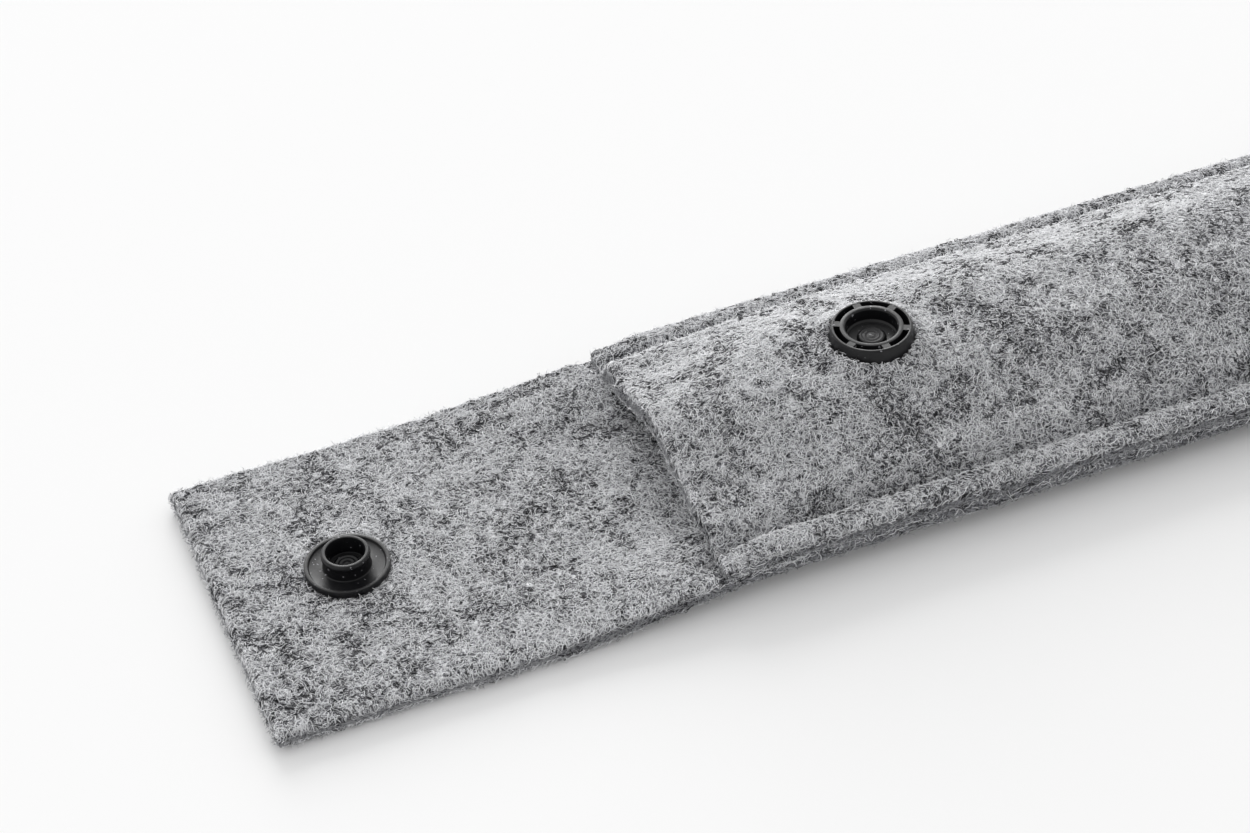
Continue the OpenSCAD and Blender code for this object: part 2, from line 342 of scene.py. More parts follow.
    def front_low(self, u: Array, y: Array) -> Array:
        """Inner face of the front panel.

        Args:
            u: Place along the case, from the fold line.
            y: Place across it.

        Returns:
            Heights, in millimetres.
        """
        seat = self.back_high(u, y) + self.panel_gap
        crown = self.crown_z - self.felt_t - self.lip_drop * (1 - smooth(u / self.crown_run))
        return mix(seat, np.maximum(seat, crown), self.arch(u, y))

    def front_high(self, u: Array, y: Array) -> Array:
        """Outer face of the front panel, its thickness measured across the felt.

        Args:
            u: Place along the case, from the fold line.
            y: Place across it.

        Returns:
            Heights, in millimetres.
        """
        e = 0.2
        across = (self.front_low(u, y + e) - self.front_low(u, y - e)) / (2 * e)
        ahead = self.front_low(np.minimum(u + e, self.seam_u), y)
        along = (ahead - self.front_low(u - e, y)) / (2 * e)
        grade = np.minimum(np.hypot(across, along), self.steepest)
        tilt = mix(1.0, np.sqrt(1 + grade * grade), smooth(self.inside(u, y) / self.pillow_run))
        thick = self.panel_t(u, y) * np.where(self.inside(u, y) > 0, tilt, 1.0)
        return self.front_low(u, y) + thick - self.dimples(u, y) + self.pillow(u, y)

    def pillow(self, u: Array, y: Array) -> Array:
        """What the tight thread does to the felt: a sharp groove, and a rounded flange.

        Args:
            u: Place along the case, from the fold line.
            y: Place across it.

        Returns:
            Heights to add, in millimetres.
        """
        d = self.inside(u, y)
        groove = self.groove_deep * np.exp(-((d / self.groove_sharp) ** 2))
        over = clamp01(-d / self.seam_inset)
        opened = smooth((u + self.corner_lead) / self.corner_run)
        swell = self.flange_swell * np.sin(math.pi * over**0.8) * opened
        pressed = self.corner_press * (1 - opened) * smooth((self.pillow_run - d) / self.pillow_run)
        return swell - pressed - groove * smooth(u / self.seam_start)

    def off_cap(self, r: Array) -> Array:
        """0 on a cap's seat and 1 away from it, at distance r from its axis."""
        return smooth((r - self.cap_seat_r + self.cap_ring_in) / self.cap_ring_run)


class FeltSkin:
    """One sheet of felt: two faces over (x, y) and the cut edges round them."""

    lump: float = 0.07
    pill: float = 0.05
    grain: float = 0.04
    edge_sway: float = 0.07
    edge_r: float = 0.4
    end_reach: float = 3.0
    thinnest: float = 0.5
    swell: float = 0.0
    swell_r: float = 6.0
    swell_w: float = 1.5
    seat_r: float = 5.0
    seat_run: float = 0.5

    def __init__(self, sizes: CaseSizes, x0: float, x1: float, cut: tuple[bool, bool], seed: int) -> None:
        """Keeps the sheet's span.

        Args:
            sizes: Sizes of the case.
            x0: Where the sheet starts.
            x1: Where it ends.
            cut: Whether its start and its end are cut edges, not splits at a fold.
            seed: Start of the random numbers of its edges' waviness.
        """
        self.sizes, self.x0, self.x1, self.cut = sizes, x0, x1, cut
        self.noise = SoftNoise(7)
        self.edge_noise = SoftNoise(seed)

    def half(self, x: Array, side: Array) -> Array:
        """Half width at x on the side of the given sign, with the cut's waviness."""
        sway = self.edge_noise.at(x, side * 40 + 3, 6.0) + 0.5 * self.edge_noise.at(x, side * 40 + 3, 1.7)
        return self.sizes.half_w(x - self.sizes.fold_x) + self.edge_sway * sway

    def top(self, x: Array, y: Array) -> Array:
        """Upper face without lumps."""
        return self.sizes.back_high(x - self.sizes.fold_x, y)

    def bottom(self, x: Array, y: Array) -> Array:
        """Lower face without lumps."""
        return self.sizes.back_outer(x - self.sizes.fold_x, y)

    def seated(self, z: Array, pressed: Array, r: Array) -> Array:
        """An upper face pressed in under a fitting and swollen round it, at distance r from its axis."""
        swell = self.swell * np.exp(-(((r - self.swell_r) / self.swell_w) ** 2))
        return mix(pressed, z + swell, smooth((r - self.seat_r) / self.seat_run))

    def rounding(self, x: Array) -> tuple[Array, Array]:
        """How far the upper and the lower edge are rounded: little where two sheets are sewn together."""
        sewn = self.sizes.sewn(x - self.sizes.fold_x)
        return 1 - 0.8 * sewn, np.ones_like(sewn)

    def lumps(self, x: Array, v: Array) -> Array:
        """Unevenness of the felt at a place on the sheet, in millimetres.

        Args:
            x: Place along the sheet.
            v: Way round it, as place() takes it.

        Returns:
            Heights to add along the outward direction.
        """
        n = self.noise
        coarse = self.lump * n.at(x, v, 4.5) + self.pill * n.at(x + 31, v + 17, 1.3)
        return coarse + self.grain * n.at(x + 57, v + 5, 0.55)

    def stretch(self, x: Array, v: Array) -> Array:
        """How much longer the upper face is across the sheet than its plan.

        Args:
            x: Place along the sheet.
            v: Way round it, as place() takes it.

        Returns:
            Ratios, 1 on a level face.
        """
        e = 0.3
        y = np.clip(v, -self.sizes.felt_w / 2, self.sizes.felt_w / 2)
        return np.hypot(1.0, (self.top(x, y + e) - self.top(x, y - e)) / (2 * e))

    def to_edge(self, x: Array, y: Array) -> tuple[Array, Array, Array]:
        """Distance to the nearest cut edge, and the outward direction there.

        Args:
            x: Place along the sheet.
            y: Place across it.

        Returns:
            Distances, and the direction's parts along x and y.
        """
        side = np.where(y < 0, -1.0, 1.0)
        d = np.maximum(self.half(x, side) - np.abs(y), 0)
        out_x, out_y = np.zeros_like(d), side.copy()
        for is_cut, gap, sign in ((self.cut[0], x - self.x0, -1.0), (self.cut[1], self.x1 - x, 1.0)):
            if is_cut:
                gap = np.maximum(gap, 0)
                nearer = gap < d
                d = np.where(nearer, gap, d)
                out_x = np.where(nearer, sign, out_x)
                out_y = np.where(nearer, 0.0, out_y)
        return d, out_x, out_y

    def surface(self, x: Array, y: Array, w: Array) -> tuple[Array, Array]:
        """Places points on the sheet.

        Args:
            x: Place along the sheet.
            y: Place across it.
            w: 0 on the lower face, 1 on the upper, between them on the cut edge.

        Returns:
            Points and outward directions, each as rows of three.
        """
        r = self.edge_r
        d, out_x, out_y = self.to_edge(x, y)
        bend = np.maximum(r - d, 0)
        drop = r - np.sqrt(np.maximum(r * r - bend * bend, 0))
        upper, lower = self.rounding(x)
        high, low = self.top(x, y) - drop * upper, self.bottom(x, y) + drop * lower
        z = mix(low, high, w)
        e = 0.15
        face = np.where(w > 0.5, 1.0, -1.0)

        def level(a: Array, b: Array) -> Array:
            """Height of the face that w lies on."""
            return np.where(w > 0.5, self.top(a, b), self.bottom(a, b))

        slope_x = (level(x + e, y) - level(x - e, y)) / (2 * e)
        slope_y = (level(x, y + e) - level(x, y - e)) / (2 * e)
        flat = np.stack([-slope_x * face, -slope_y * face, face], -1)
        out = np.stack([out_x, out_y, np.zeros_like(d)], -1)
        wall = (w > 0) & (w < 1)
        lean = smooth(bend / r)[..., None]
        normal = unit(np.where(wall[..., None], out + 0.3 * flat * (np.abs(2 * w - 1))[..., None],
                               unit(flat) * (1 - 0.5 * lean) + out * lean))
        wide = self.edge_noise.at(y, np.full_like(y, 11.0), 7.0)
        sway = wide + 0.5 * self.edge_noise.at(y, np.full_like(y, 23.0), 1.8)
        shift = np.zeros_like(x)
        for is_cut, gap in ((self.cut[0], x - self.x0), (self.cut[1], self.x1 - x)):
            if is_cut:
                shift = shift + self.edge_sway * sway * smooth(1 - gap / self.end_reach)
        return np.stack([x + shift, y, z], -1), normal

    def place(self, x: Array, v: Array, h: Array) -> tuple[Array, Array]:
        """Places points by their way round the sheet.

        Args:
            x: Place along the sheet.
            v: Way from the middle of the upper face, over the edge and along the lower face.
            h: Height above the felt.

        Returns:
            Points and outward directions.
        """
        side = np.where(v < 0, -1.0, 1.0)
        a = np.abs(v)
        within = np.clip(x, self.x0, self.x1)
        half = self.half(within, side)
        t = np.maximum(self.top(within, side * half) - self.bottom(within, side * half), self.thinnest)
        y = np.where(a <= half, a, np.where(a < half + t, half, np.maximum(2 * half + t - a, 0)))
        w = np.where(a <= half, 1.0, np.where(a < half + t, 1 - (a - half) / t, 0.0))
        beyond = x - within
        for is_cut, sign in ((self.cut[0], -1.0), (self.cut[1], 1.0)):
            over = sign * beyond
            round_end = (over > 0) & (a <= half) & is_cut
            deep = np.maximum(self.top(within, side * y) - self.bottom(within, side * y), self.thinnest)
            w = np.where(round_end, clamp01(1 - over / deep), w)
            within = np.where(round_end, within - sign * np.maximum(over - deep, 0), within)
            beyond = np.where((over > 0) & is_cut, 0.0, beyond)
        point, normal = self.surface(within, side * y, w)
        point = point + normal * (h + self.lumps(x, v))[..., None]
        point[..., 0] += beyond
        return point, normal


class FrontSkin(FeltSkin):
    """The front panel, with the seats of the socket above and of the cap below."""

    press: float = 0.62
    swell: float = 0.66
    seat_r: float = 5.2

    def top(self, x: Array, y: Array) -> Array:
        """Outer face, pressed in under the socket.

        Args:
            x: Place along the sheet.
            y: Place across it.

        Returns:
            Heights, in millimetres.
        """
        s = self.sizes
        z = s.front_high(x - s.fold_x, y)
        return self.seated(z, np.minimum(z, s.crown_z - self.press), np.hypot(x - s.socket_x, y))

    def rounding(self, x: Array) -> tuple[Array, Array]:
        """Full at the upper edge, little at the lower one, which is sewn to the back."""
        return np.ones_like(x), np.full_like(x, 0.2)

    def bottom(self, x: Array, y: Array) -> Array:
        """Inner face, with a round seat for the cap.

        Args:
            x: Place along the sheet.
            y: Place across it.

        Returns:
            Heights, in millimetres.
        """
        s = self.sizes
        z = s.front_low(x - s.fold_x, y)
        seat = s.crown_z - s.felt_t + s.cap_t + s.seat_play
        return mix(np.maximum(z, seat), z, s.off_cap(np.hypot(x - s.socket_x, y)))


class TipSkin(FeltSkin):
    """The flap's tip, with the stud on it and the seat of its cap below."""

    edge_r: float = 0.9
    press: float = 0.14
    swell: float = 0.16
    swell_r: float = 6.9
    swell_w: float = 1.2
    seat_r: float = 4.9
    seat_run: float = 0.9

    def top(self, x: Array, y: Array) -> Array:
        """Inner face, squeezed under the stud's flange and swollen round it."""
        z = super().top(x, y)
        return self.seated(z, z - self.press, np.hypot(x - self.sizes.stud_x, y))

    def bottom(self, x: Array, y: Array) -> Array:
        """Outer face, with a round seat for the cap.

        Args:
            x: Place along the sheet.
            y: Place across it.

        Returns:
            Heights, in millimetres.
        """
        s = self.sizes
        z = super().bottom(x, y)
        return mix(np.full_like(z, s.cap_t + s.seat_play), z, s.off_cap(np.hypot(x - s.stud_x, y)))


def grid_places(start: float, end: float, pitch: float, tight: tuple[bool, bool]) -> Array:
    """Spaces the rows of a felt mesh, with close rows round a cut edge.

    Args:
        start: First place.
        end: Last place.
        pitch: Usual distance between rows.
        tight: Whether the start and the end are cut edges.

    Returns:
        Rising places from start to end.
    """
    near = [0.04, 0.13, 0.28]
    a = [start + d for d in near] if tight[0] else []
    b = [end - d for d in reversed(near)] if tight[1] else []
    low, high = (a[-1] if a else start), (b[0] if b else end)
    count = max(2, round((high - low) / pitch))
    middle = list(np.linspace(low, high, count + 1))
    return np.array(([start] + a[:-1] if a else []) + middle + (b[1:] + [end] if b else []))


def box_grid(cells: tuple[int, int, int]) -> bmesh.types.BMesh:
    """Makes a closed unit box cut into cells along each axis.

    Args:
        cells: Number of cells along x, y and z.

    Returns:
        The mesh, from (0, 0, 0) to (1, 1, 1).
    """
    bm = bmesh.new()
    bmesh.ops.create_cube(bm, size=1.0)
    bmesh.ops.translate(bm, verts=bm.verts, vec=(0.5, 0.5, 0.5))
    for axis, count in enumerate(cells):
        if count > 1:
            along = [e for e in bm.edges if abs((e.verts[0].co - e.verts[1].co)[axis]) > 0.5]
            bmesh.ops.subdivide_edges(bm, edges=along, cuts=count - 1, use_grid_fill=True)
    return bm


def linked(name: str, data: bpy.types.ID) -> bpy.types.Object:
    """Puts a new object with the given data into the scene.

    Args:
        name: Name of the object.
        data: Its mesh, camera or lamp.

    Returns:
        The object.
    """
    obj = bpy.data.objects.new(name, data)
    bpy.context.scene.collection.objects.link(obj)
    return obj


def new_object(name: str, bm: bmesh.types.BMesh) -> bpy.types.Object:
    """Turns a finished bmesh into a smooth-shaded object at the origin.

    Args:
        name: Name of the piece.
        bm: Its mesh, which is freed.

    Returns:
        The piece.
    """
    mesh = bpy.data.meshes.new(name)
    bm.to_mesh(mesh)
    bm.free()
    mesh.polygons.foreach_set("use_smooth", [True] * len(mesh.polygons))
    return linked(name, mesh)


def read_points(mesh: bpy.types.Mesh) -> Array:
    """Vertex places of a mesh as rows of three.

    Args:
        mesh: The mesh to read.

    Returns:
        Places in the mesh's own unit.
    """
    flat = np.empty(len(mesh.vertices) * 3)
    mesh.vertices.foreach_get("co", flat)
    return flat.reshape(-1, 3)


def write_points(mesh: bpy.types.Mesh, points_mm: Array) -> None:
    """Sets vertex places given in millimetres."""
    mesh.vertices.foreach_set("co", (points_mm * MM).ravel())
    mesh.update()


def corner_verts(mesh: bpy.types.Mesh) -> Array:
    """Vertex index of each face corner.

    Args:
        mesh: The mesh to read.

    Returns:
        Indices, one for each corner.
    """
    index = np.empty(len(mesh.loops), int)
    mesh.loops.foreach_get("vertex_index", index)
    return index


def dress(obj: bpy.types.Object, material: bpy.types.Material, node: str, body: str) -> None:
    """Puts a finished hard piece in the place of its plain node.

    Args:
        obj: The piece.
        material: What it is made of.
        node: The node that it stands for.
        body: The body that it moves with.
    """
    obj.data.materials.append(material)
    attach(obj, body)
    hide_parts(node)
    LOG.info("%s: %d faces", obj.name, len(obj.data.polygons))


class FeltSheetMesh:
    """Builds the closed mesh of one sheet of felt."""

    wall_cells: int = 5
    under_offset: float = 400.0
    margin: float = 1.0

    def __init__(self, name: str, skin: FeltSkin, pitch: float) -> None:
        """Keeps what the sheet is made from.

        Args:
            name: Name of the piece.
            skin: Shape of the sheet.
            pitch: Distance between mesh rows.
        """
        self.name, self.skin, self.pitch = name, skin, pitch

    def build(self) -> bpy.types.Object:
        """Makes the sheet and the coordinates that its pattern follows.

        Returns:
            The finished sheet.
        """
        skin, s = self.skin, self.skin.sizes
        xs = grid_places(skin.x0, skin.x1, self.pitch, skin.cut)
        half = s.felt_w / 2
        ys = grid_places(-half, half, self.pitch, (True, True)) / half
        cells = (len(xs) - 1, len(ys) - 1, self.wall_cells)
        obj = new_object(self.name, box_grid(cells))
        mesh = obj.data
        index = np.rint(read_points(mesh) * np.array(cells)).astype(int)
        x = xs[index[:, 0]]
        across = ys[index[:, 1]]
        w = index[:, 2] / self.wall_cells
        side = np.where(across < 0, -1.0, 1.0)
        width = skin.half(x, side)
        inner = np.abs(across) * half
        y = side * np.where(inner > half - self.margin, width - (half - inner),
                            inner * (width - self.margin) / (half - self.margin))
        point, normal = skin.surface(x, y, w)
        t = skin.top(x, y) - skin.bottom(x, y)
        v = np.where(w == 1, y, side * (width + (1 - w) * t))
        end_wall = (w > 0) & (w < 1) & (np.abs(across) < 1)
        v = np.where(end_wall, y, v)
        v = np.where(w == 0, side * (2 * width + t) - y, v)
        along = np.where(end_wall, x - (1 - w) * t, x)
        internal = np.zeros(len(x), bool)
        for is_cut, edge in ((skin.cut[0], 0), (skin.cut[1], cells[0])):
            if not is_cut:
                internal |= (index[:, 0] == edge) & end_wall
        swell = np.where(internal, 0.0, skin.lumps(along, v))
        point = point + normal * swell[:, None]
        point[:, 2] = np.maximum(point[:, 2], SHEET_GAP)
        write_points(mesh, point)
        self.add_pattern_uv(mesh, x, self.unrolled(point, index, cells), w, side, width, t, end_wall)
        # Marks the cut faces, where the felt material paints shade.
        cut = mesh.attributes.new(CUT, "FLOAT", "POINT")
        cut.data.foreach_set("value", ((w > 0) & (w < 1)).astype(np.float32))
        return obj

    @staticmethod
    def unrolled(point: Array, index: Array, cells: tuple[int, int, int]) -> Array:
        """Place of each vertex across the sheet as if it were laid flat.

        Args:
            point: Places of the vertices.
            index: Their row, column and layer.
            cells: Cells along each axis.

        Returns:
            Way from the middle line along the face, or y on the cut edges.
        """
        flat = point[:, 1].copy()
        for layer in (0, cells[2]):
            here = index[:, 2] == layer
            i, j = index[here, 0], index[here, 1]
            grid = np.zeros((cells[0] + 1, cells[1] + 1, 3))
            grid[i, j] = point[here]
            run = np.cumsum(np.linalg.norm(np.diff(grid, axis=1), axis=2), axis=1)
            run = np.concatenate([np.zeros((len(run), 1)), run], axis=1)
            run -= run[:, cells[1] // 2][:, None]
            flat[here] = run[i, j]
        return flat

    def add_pattern_uv(self, mesh: bpy.types.Mesh, x: Array, y: Array, w: Array, side: Array,
                       width: Array, t: Array, end_wall: Array) -> None:
        """Writes the pattern's map: millimetres on the sheet, the lower face set apart.

        Args:
            mesh: The sheet's mesh.
            x: Place of each vertex along the sheet.
            y: Its place across the sheet, laid flat.
            w: Its share of the thickness.
            side: Sign of y.
            width: Half width there.
            t: Thickness there.
            end_wall: Whether the vertex is inside an end face.
        """
        index = corner_verts(mesh)
        counts = np.empty(len(mesh.polygons), int)
        mesh.polygons.foreach_get("loop_total", counts)
        face = np.repeat(np.arange(len(counts)), counts)
        level = np.zeros(len(counts))
        np.add.at(level, face, w[index])
        level = (level / counts)[face]
        is_end = np.zeros(len(counts))
        np.add.at(is_end, face, end_wall[index].astype(float))
        is_end = is_end[face] > 0
        cx, cy, cw, cs, ch, ct = (q[index] for q in (x, y, w, side, width, t))
        fall = (1 - cw) * ct
        u_map = np.where(level == 0, cx + self.under_offset, np.where(is_end, cx - fall, cx))
        v_map = np.where((level == 1) | (level == 0) | is_end, cy, cs * (ch + fall))
        layer = mesh.uv_layers.new(name=PATTERN_UV)
        layer.data.foreach_set("uv", np.stack([u_map, v_map], -1).ravel())


@dataclass(frozen=True)
class FibreLook:
    """How the loose fibres of a patch lie."""

    length: tuple[float, float] = (0.8, 2.2)
    radius: tuple[float, float] = (0.028, 0.064)
    bend: float = 3.4
    rise: float = 0.12
    loose_share: float = 0.16
    edge_share: float = 0.20
    loose_rise: float = 0.9
    loose_power: float = 1.5
    wave: float = 0.6
    lie: float = 0.02
    sink: float = 0.015


def make_strand() -> bpy.types.Object:
    """Makes the pattern of one fibre: three sides, five stations, pointed ends.

    Returns:
        The pattern, 1 in radius and 4 long.
    """
    bm = bmesh.new()
    bmesh.ops.create_cone(bm, cap_ends=True, cap_tris=True, segments=3, radius1=1.0, radius2=1.0, depth=2.0)
    long_edges = [e for e in bm.edges if abs(e.verts[0].co.z - e.verts[1].co.z) > 1]
    bmesh.ops.subdivide_edges(bm, edges=long_edges, cuts=1, use_grid_fill=True)
    for v in bm.verts:
        if math.hypot(v.co.x, v.co.y) < 0.1:
            v.co.z *= 2
    bmesh.ops.recalc_face_normals(bm, faces=bm.faces)
    return new_object("strand", bm)


class FibrePatch:
    """A piece of real fibres that lie on a skin."""

    def __init__(self, name: str, look: FibreLook, seed: int) -> None:
        """Keeps the patch's facts.

        Args:
            name: Name of the piece.
            look: How its fibres lie.
            seed: Start of its random numbers.
        """
        self.name, self.look = name, look
        self.rng = np.random.default_rng(seed)

    def paths(self, a: Array, b: Array, squeeze: Array, edge: Array, stations: int = 5) -> tuple[Array, Array, Array]:
        """Draws curved ways over the sheet from given middles.

        Args:
            a: Middle of each fibre, first coordinate.
            b: Middle of each fibre, second coordinate.
            squeeze: How much shorter the plan is than the face there, along the second coordinate.
            edge: Nearness to a cut edge, from 0 to 1, where more fibres stand loose.
            stations: Points on each fibre.

        Returns:
            First and second coordinates and heights, one row a fibre.
        """
        rng, look, n = self.rng, self.look, len(a)
        length = rng.uniform(*look.length, n)
        s = np.linspace(-0.5, 0.5, stations)
        heading = rng.uniform(0, 2 * math.pi, n)[:, None]
        bend = rng.normal(0, look.bend, n)[:, None]
        wave = rng.normal(0, look.wave, n)[:, None]
        phase = rng.uniform(0, 2 * math.pi, n)[:, None]
        turn = heading + bend * s + wave * np.sin(2 * math.pi * s + phase)
        step = length[:, None] / (stations - 1)
        da, db = np.cos(turn) * step, np.sin(turn) * step
        pa, pb = np.cumsum(da, 1), np.cumsum(db, 1)
        pa += a[:, None] - pa.mean(1, keepdims=True)
        pb = b[:, None] + (pb - pb.mean(1, keepdims=True)) / squeeze[:, None]
        lying = (np.abs(rng.normal(0, look.rise, n)) + look.lie)[:, None] * (1 - (2 * s) ** 2)
        loose = rng.random(n) < look.loose_share + look.edge_share * edge
        free = (rng.uniform(0.2, 1.0, n) * look.loose_rise)[:, None] * (s + 0.5) ** look.loose_power
        return pa, pb, np.where(loose[:, None], free, lying) - look.sink

    def make(self, strand: bpy.types.Object, centre: Array, normal: Array, tones: Array) -> bpy.types.Object:
        """Turns ways into thin closed fibres.

        Args:
            strand: Pattern of one fibre.
            centre: Points of each way, in millimetres.
            normal: Outward directions there.
            tones: Tone of each fibre, from dark 0 to light 1.

        Returns:
            The finished piece.
        """
        count = len(centre)
        copier = linked("copier", strand.data)
        array = copier.modifiers.new("copies", "ARRAY")
        array.count = count
        array.use_relative_offset = False
        graph = bpy.context.evaluated_depsgraph_get()
        mesh = bpy.data.meshes.new_from_object(copier.evaluated_get(graph))
        bpy.data.objects.remove(copier)
        mesh.name = self.name
        pattern = read_points(strand.data)
        station = np.rint(pattern[:, 2]).astype(int) + 2
        ring = np.hypot(pattern[:, 0], pattern[:, 1])
        angle = np.arctan2(pattern[:, 1], pattern[:, 0])
        ahead = unit(np.gradient(centre, axis=1))
        side = unit(np.cross(ahead, normal))
        above = unit(np.cross(side, ahead))
        radius = self.rng.uniform(*self.look.radius, count)[:, None, None]
        c, a, b = centre[:, station], side[:, station], above[:, station]
        thick = radius * ring[None, :, None]
        points = c + thick * (a * np.cos(angle)[None, :, None] + b * np.sin(angle)[None, :, None])
        points[..., 2] = np.maximum(points[..., 2], TABLE_GAP)
        write_points(mesh, points.reshape(-1, 3))
        tone = mesh.attributes.new(TONE, "FLOAT", "POINT")
        tone.data.foreach_set("value", np.repeat(tones, len(pattern)).astype(np.float32))
        return linked(self.name, mesh)


@dataclass(frozen=True)
class FeltFinish:
    """Tones of the heathered felt, as written colours in linear light."""

    dark: tuple[float, float, float] = (0.012, 0.012, 0.014)
    mid: tuple[float, float, float] = (0.245, 0.249, 0.268)
    light: tuple[float, float, float] = (0.96, 0.963, 0.98)
    roughness: float = 0.92
    specular: float = 0.2
    sheen: float = 0.3
    patches: float = 1.1
    # Painted shade on the cut faces, partly for the denser look of cut felt: share of tone taken off there.
    cut_face_painted_shade: float = 0.35
    bump: tuple[float, float] = (0.6, 0.00012)
    fibre_roughness: float = 0.75
    fibre_specular: float = 0.3
    fibre_sheen: float = 0.08


@dataclass(frozen=True)
class SnapFinish:
    """Black satin moulded plastic."""

    base: tuple[float, float, float] = (0.004, 0.004, 0.005)
    worn: tuple[float, float, float] = (0.022, 0.022, 0.024)
    speck: tuple[float, float, float] = (0.30, 0.30, 0.32)
    smooth_to: float = 0.30
    rough_to: float = 0.48
    specular: float = 0.36
    grain_scale: float = 3500.0
    rub_scale: float = 420.0
    speck_scale: float = 2100.0
    bump: tuple[float, float] = (0.25, 0.00003)


@dataclass(frozen=True)
class ThreadFinish:
    """Thin grey sewing thread."""

    shade: tuple[float, float, float] = (0.17, 0.17, 0.175)
    light: tuple[float, float, float] = (0.42, 0.42, 0.43)
    roughness: float = 0.7
    streak_scale: float = 5200.0
    bump: tuple[float, float] = (0.5, 0.00004)


class Nodes:
    """Short way to write a node tree."""

    def __init__(self, tree: bpy.types.NodeTree) -> None:
        """Keeps the tree that nodes go into."""
        self.tree = tree

    def fill(self, node: bpy.types.Node, values: dict) -> bpy.types.Node:
        """Sets a node's inputs.

        Args:
            node: The node.
            values: Input values by socket name or number; an output socket is linked instead.

        Returns:
            The same node.
        """
        for key, value in values.items():
            if isinstance(value, bpy.types.NodeSocket):
                self.tree.links.new(value, node.inputs[key])
            else:
                node.inputs[key].default_value = value
        return node

    def add(self, kind: str, values: dict | None = None, **settings: object) -> bpy.types.Node:
        """Adds a node.

        Args:
            kind: Blender's name of the node's type.
            values: Its inputs, as fill takes them.
            **settings: Properties of the node itself.

        Returns:
            The node.
        """
        node = self.tree.nodes.new(kind)
        for key, value in settings.items():
            setattr(node, key, value)
        return self.fill(node, values or {})

    def math(self, operation: str, a: object, b: object = 0.0) -> bpy.types.NodeSocket:
        """Adds a Math node and gives its output."""
        return self.add("ShaderNodeMath", {0: a, 1: b}, operation=operation).outputs[0]

    def mix_colour(self, factor: object, a: object, b: object) -> bpy.types.NodeSocket:
        """Mixes two colours."""
        return self.add("ShaderNodeMix", {0: factor, 6: a, 7: b}, data_type="RGBA").outputs[2]

    def mix_value(self, factor: object, a: object, b: object) -> bpy.types.NodeSocket:
        """Mixes two values."""
        return self.add("ShaderNodeMix", {0: factor, 2: a, 3: b}, data_type="FLOAT").outputs[0]

    def remap(self, value: object, low: float, high: float, to_low: float, to_high: float) -> bpy.types.NodeSocket:
        """Maps a value's range to another, eased and held at the ends."""
        return self.add("ShaderNodeMapRange", {0: value, 1: low, 2: high, 3: to_low, 4: to_high},
                        interpolation_type="SMOOTHSTEP").outputs[0]

    def noise(self, where: bpy.types.NodeSocket, scale: float, detail: float, roughness: float = 0.5,
              distortion: float = 0.0) -> bpy.types.Node:
        """Adds a Noise Texture node."""
        return self.add("ShaderNodeTexNoise", {"Vector": where, "Scale": scale, "Detail": detail,
                                               "Roughness": roughness, "Distortion": distortion})

    def bump(self, height: bpy.types.NodeSocket, reach: tuple[float, float]) -> bpy.types.NodeSocket:
        """Turns a height into a normal, with the given strength and distance in metres."""
        return self.add("ShaderNodeBump", {"Strength": reach[0], "Distance": reach[1], "Height": height}).outputs[0]

    def seen(self, *rays: str) -> bpy.types.NodeSocket:
        """1 on rays of the named kinds and 0 on all others.

        Args:
            *rays: Names of Light Path's outputs.

        Returns:
            The mask.
        """
        path = self.add("ShaderNodeLightPath")
        mask = path.outputs[rays[0]]
        for ray in rays[1:]:
            mask = self.math("MAXIMUM", mask, path.outputs[ray])
        return mask


def rgba(colour: tuple[float, float, float]) -> tuple[float, float, float, float]:
    """Adds full opacity to a colour."""
    return (*colour, 1.0)


def new_group(name: str, inputs: dict[str, str], outputs: dict[str, str]
              ) -> tuple[Nodes, bpy.types.Node, bpy.types.Node]:
    """Starts a shader node group.

    Args:
        name: Name of the group.
        inputs: Kind of each input socket by its name.
        outputs: Kind of each output socket by its name.

    Returns:
        Its nodes, then its input node and its output node.
    """
    tree = bpy.data.node_groups.new(name, "ShaderNodeTree")
    for in_out, sockets in (("INPUT", inputs), ("OUTPUT", outputs)):
        for label, kind in sockets.items():
            tree.interface.new_socket(label, in_out=in_out, socket_type=f"NodeSocket{kind}")
    n = Nodes(tree)
    return n, n.add("NodeGroupInput"), n.add("NodeGroupOutput")


def tone_group() -> bpy.types.NodeTree:
    """Group that turns a tone from 0 to 1 into a felt colour, shared by felt and fibres.

    Returns:
        The group.
    """
    n, source, sink = new_group("FeltTone", {"Tone": "Float", "Dark": "Color", "Mid": "Color", "Light": "Color"},
                                {"Color": "Color"})
    tone, dark, middle, light = (source.outputs[name] for name in ("Tone", "Dark", "Mid", "Light"))
    lower = n.mix_colour(n.remap(tone, 0.0, 0.5, 0.0, 1.0), dark, middle)
    n.fill(sink, {"Color": n.mix_colour(n.remap(tone, 0.5, 1.0, 0.0, 1.0), lower, light)})
    return n.tree


@dataclass(frozen=True)
class StrandLayer:
    """One layer of painted strands: direction, size, tone and how much it covers."""

    angle: float
    along: float
    across: float
    width: float
    tone: float


STRAND_LAYERS = (
    StrandLayer(0.4, 0.56, 2.2, 0.13, 0.10),
    StrandLayer(1.9, 0.56, 2.4, 0.12, 0.26),
    StrandLayer(2.9, 0.62, 2.5, 0.11, 0.04),
    StrandLayer(1.2, 0.56, 2.6, 0.10, 0.52),
    StrandLayer(0.0, 0.62, 2.5, 0.10, 0.05),
    StrandLayer(2.4, 0.56, 2.7, 0.09, 0.20),
    StrandLayer(0.8, 0.62, 2.7, 0.08, 0.02),
    StrandLayer(1.6, 0.56, 2.9, 0.075, 0.72),
    StrandLayer(2.7, 0.50, 3.0, 0.060, 0.86),
)


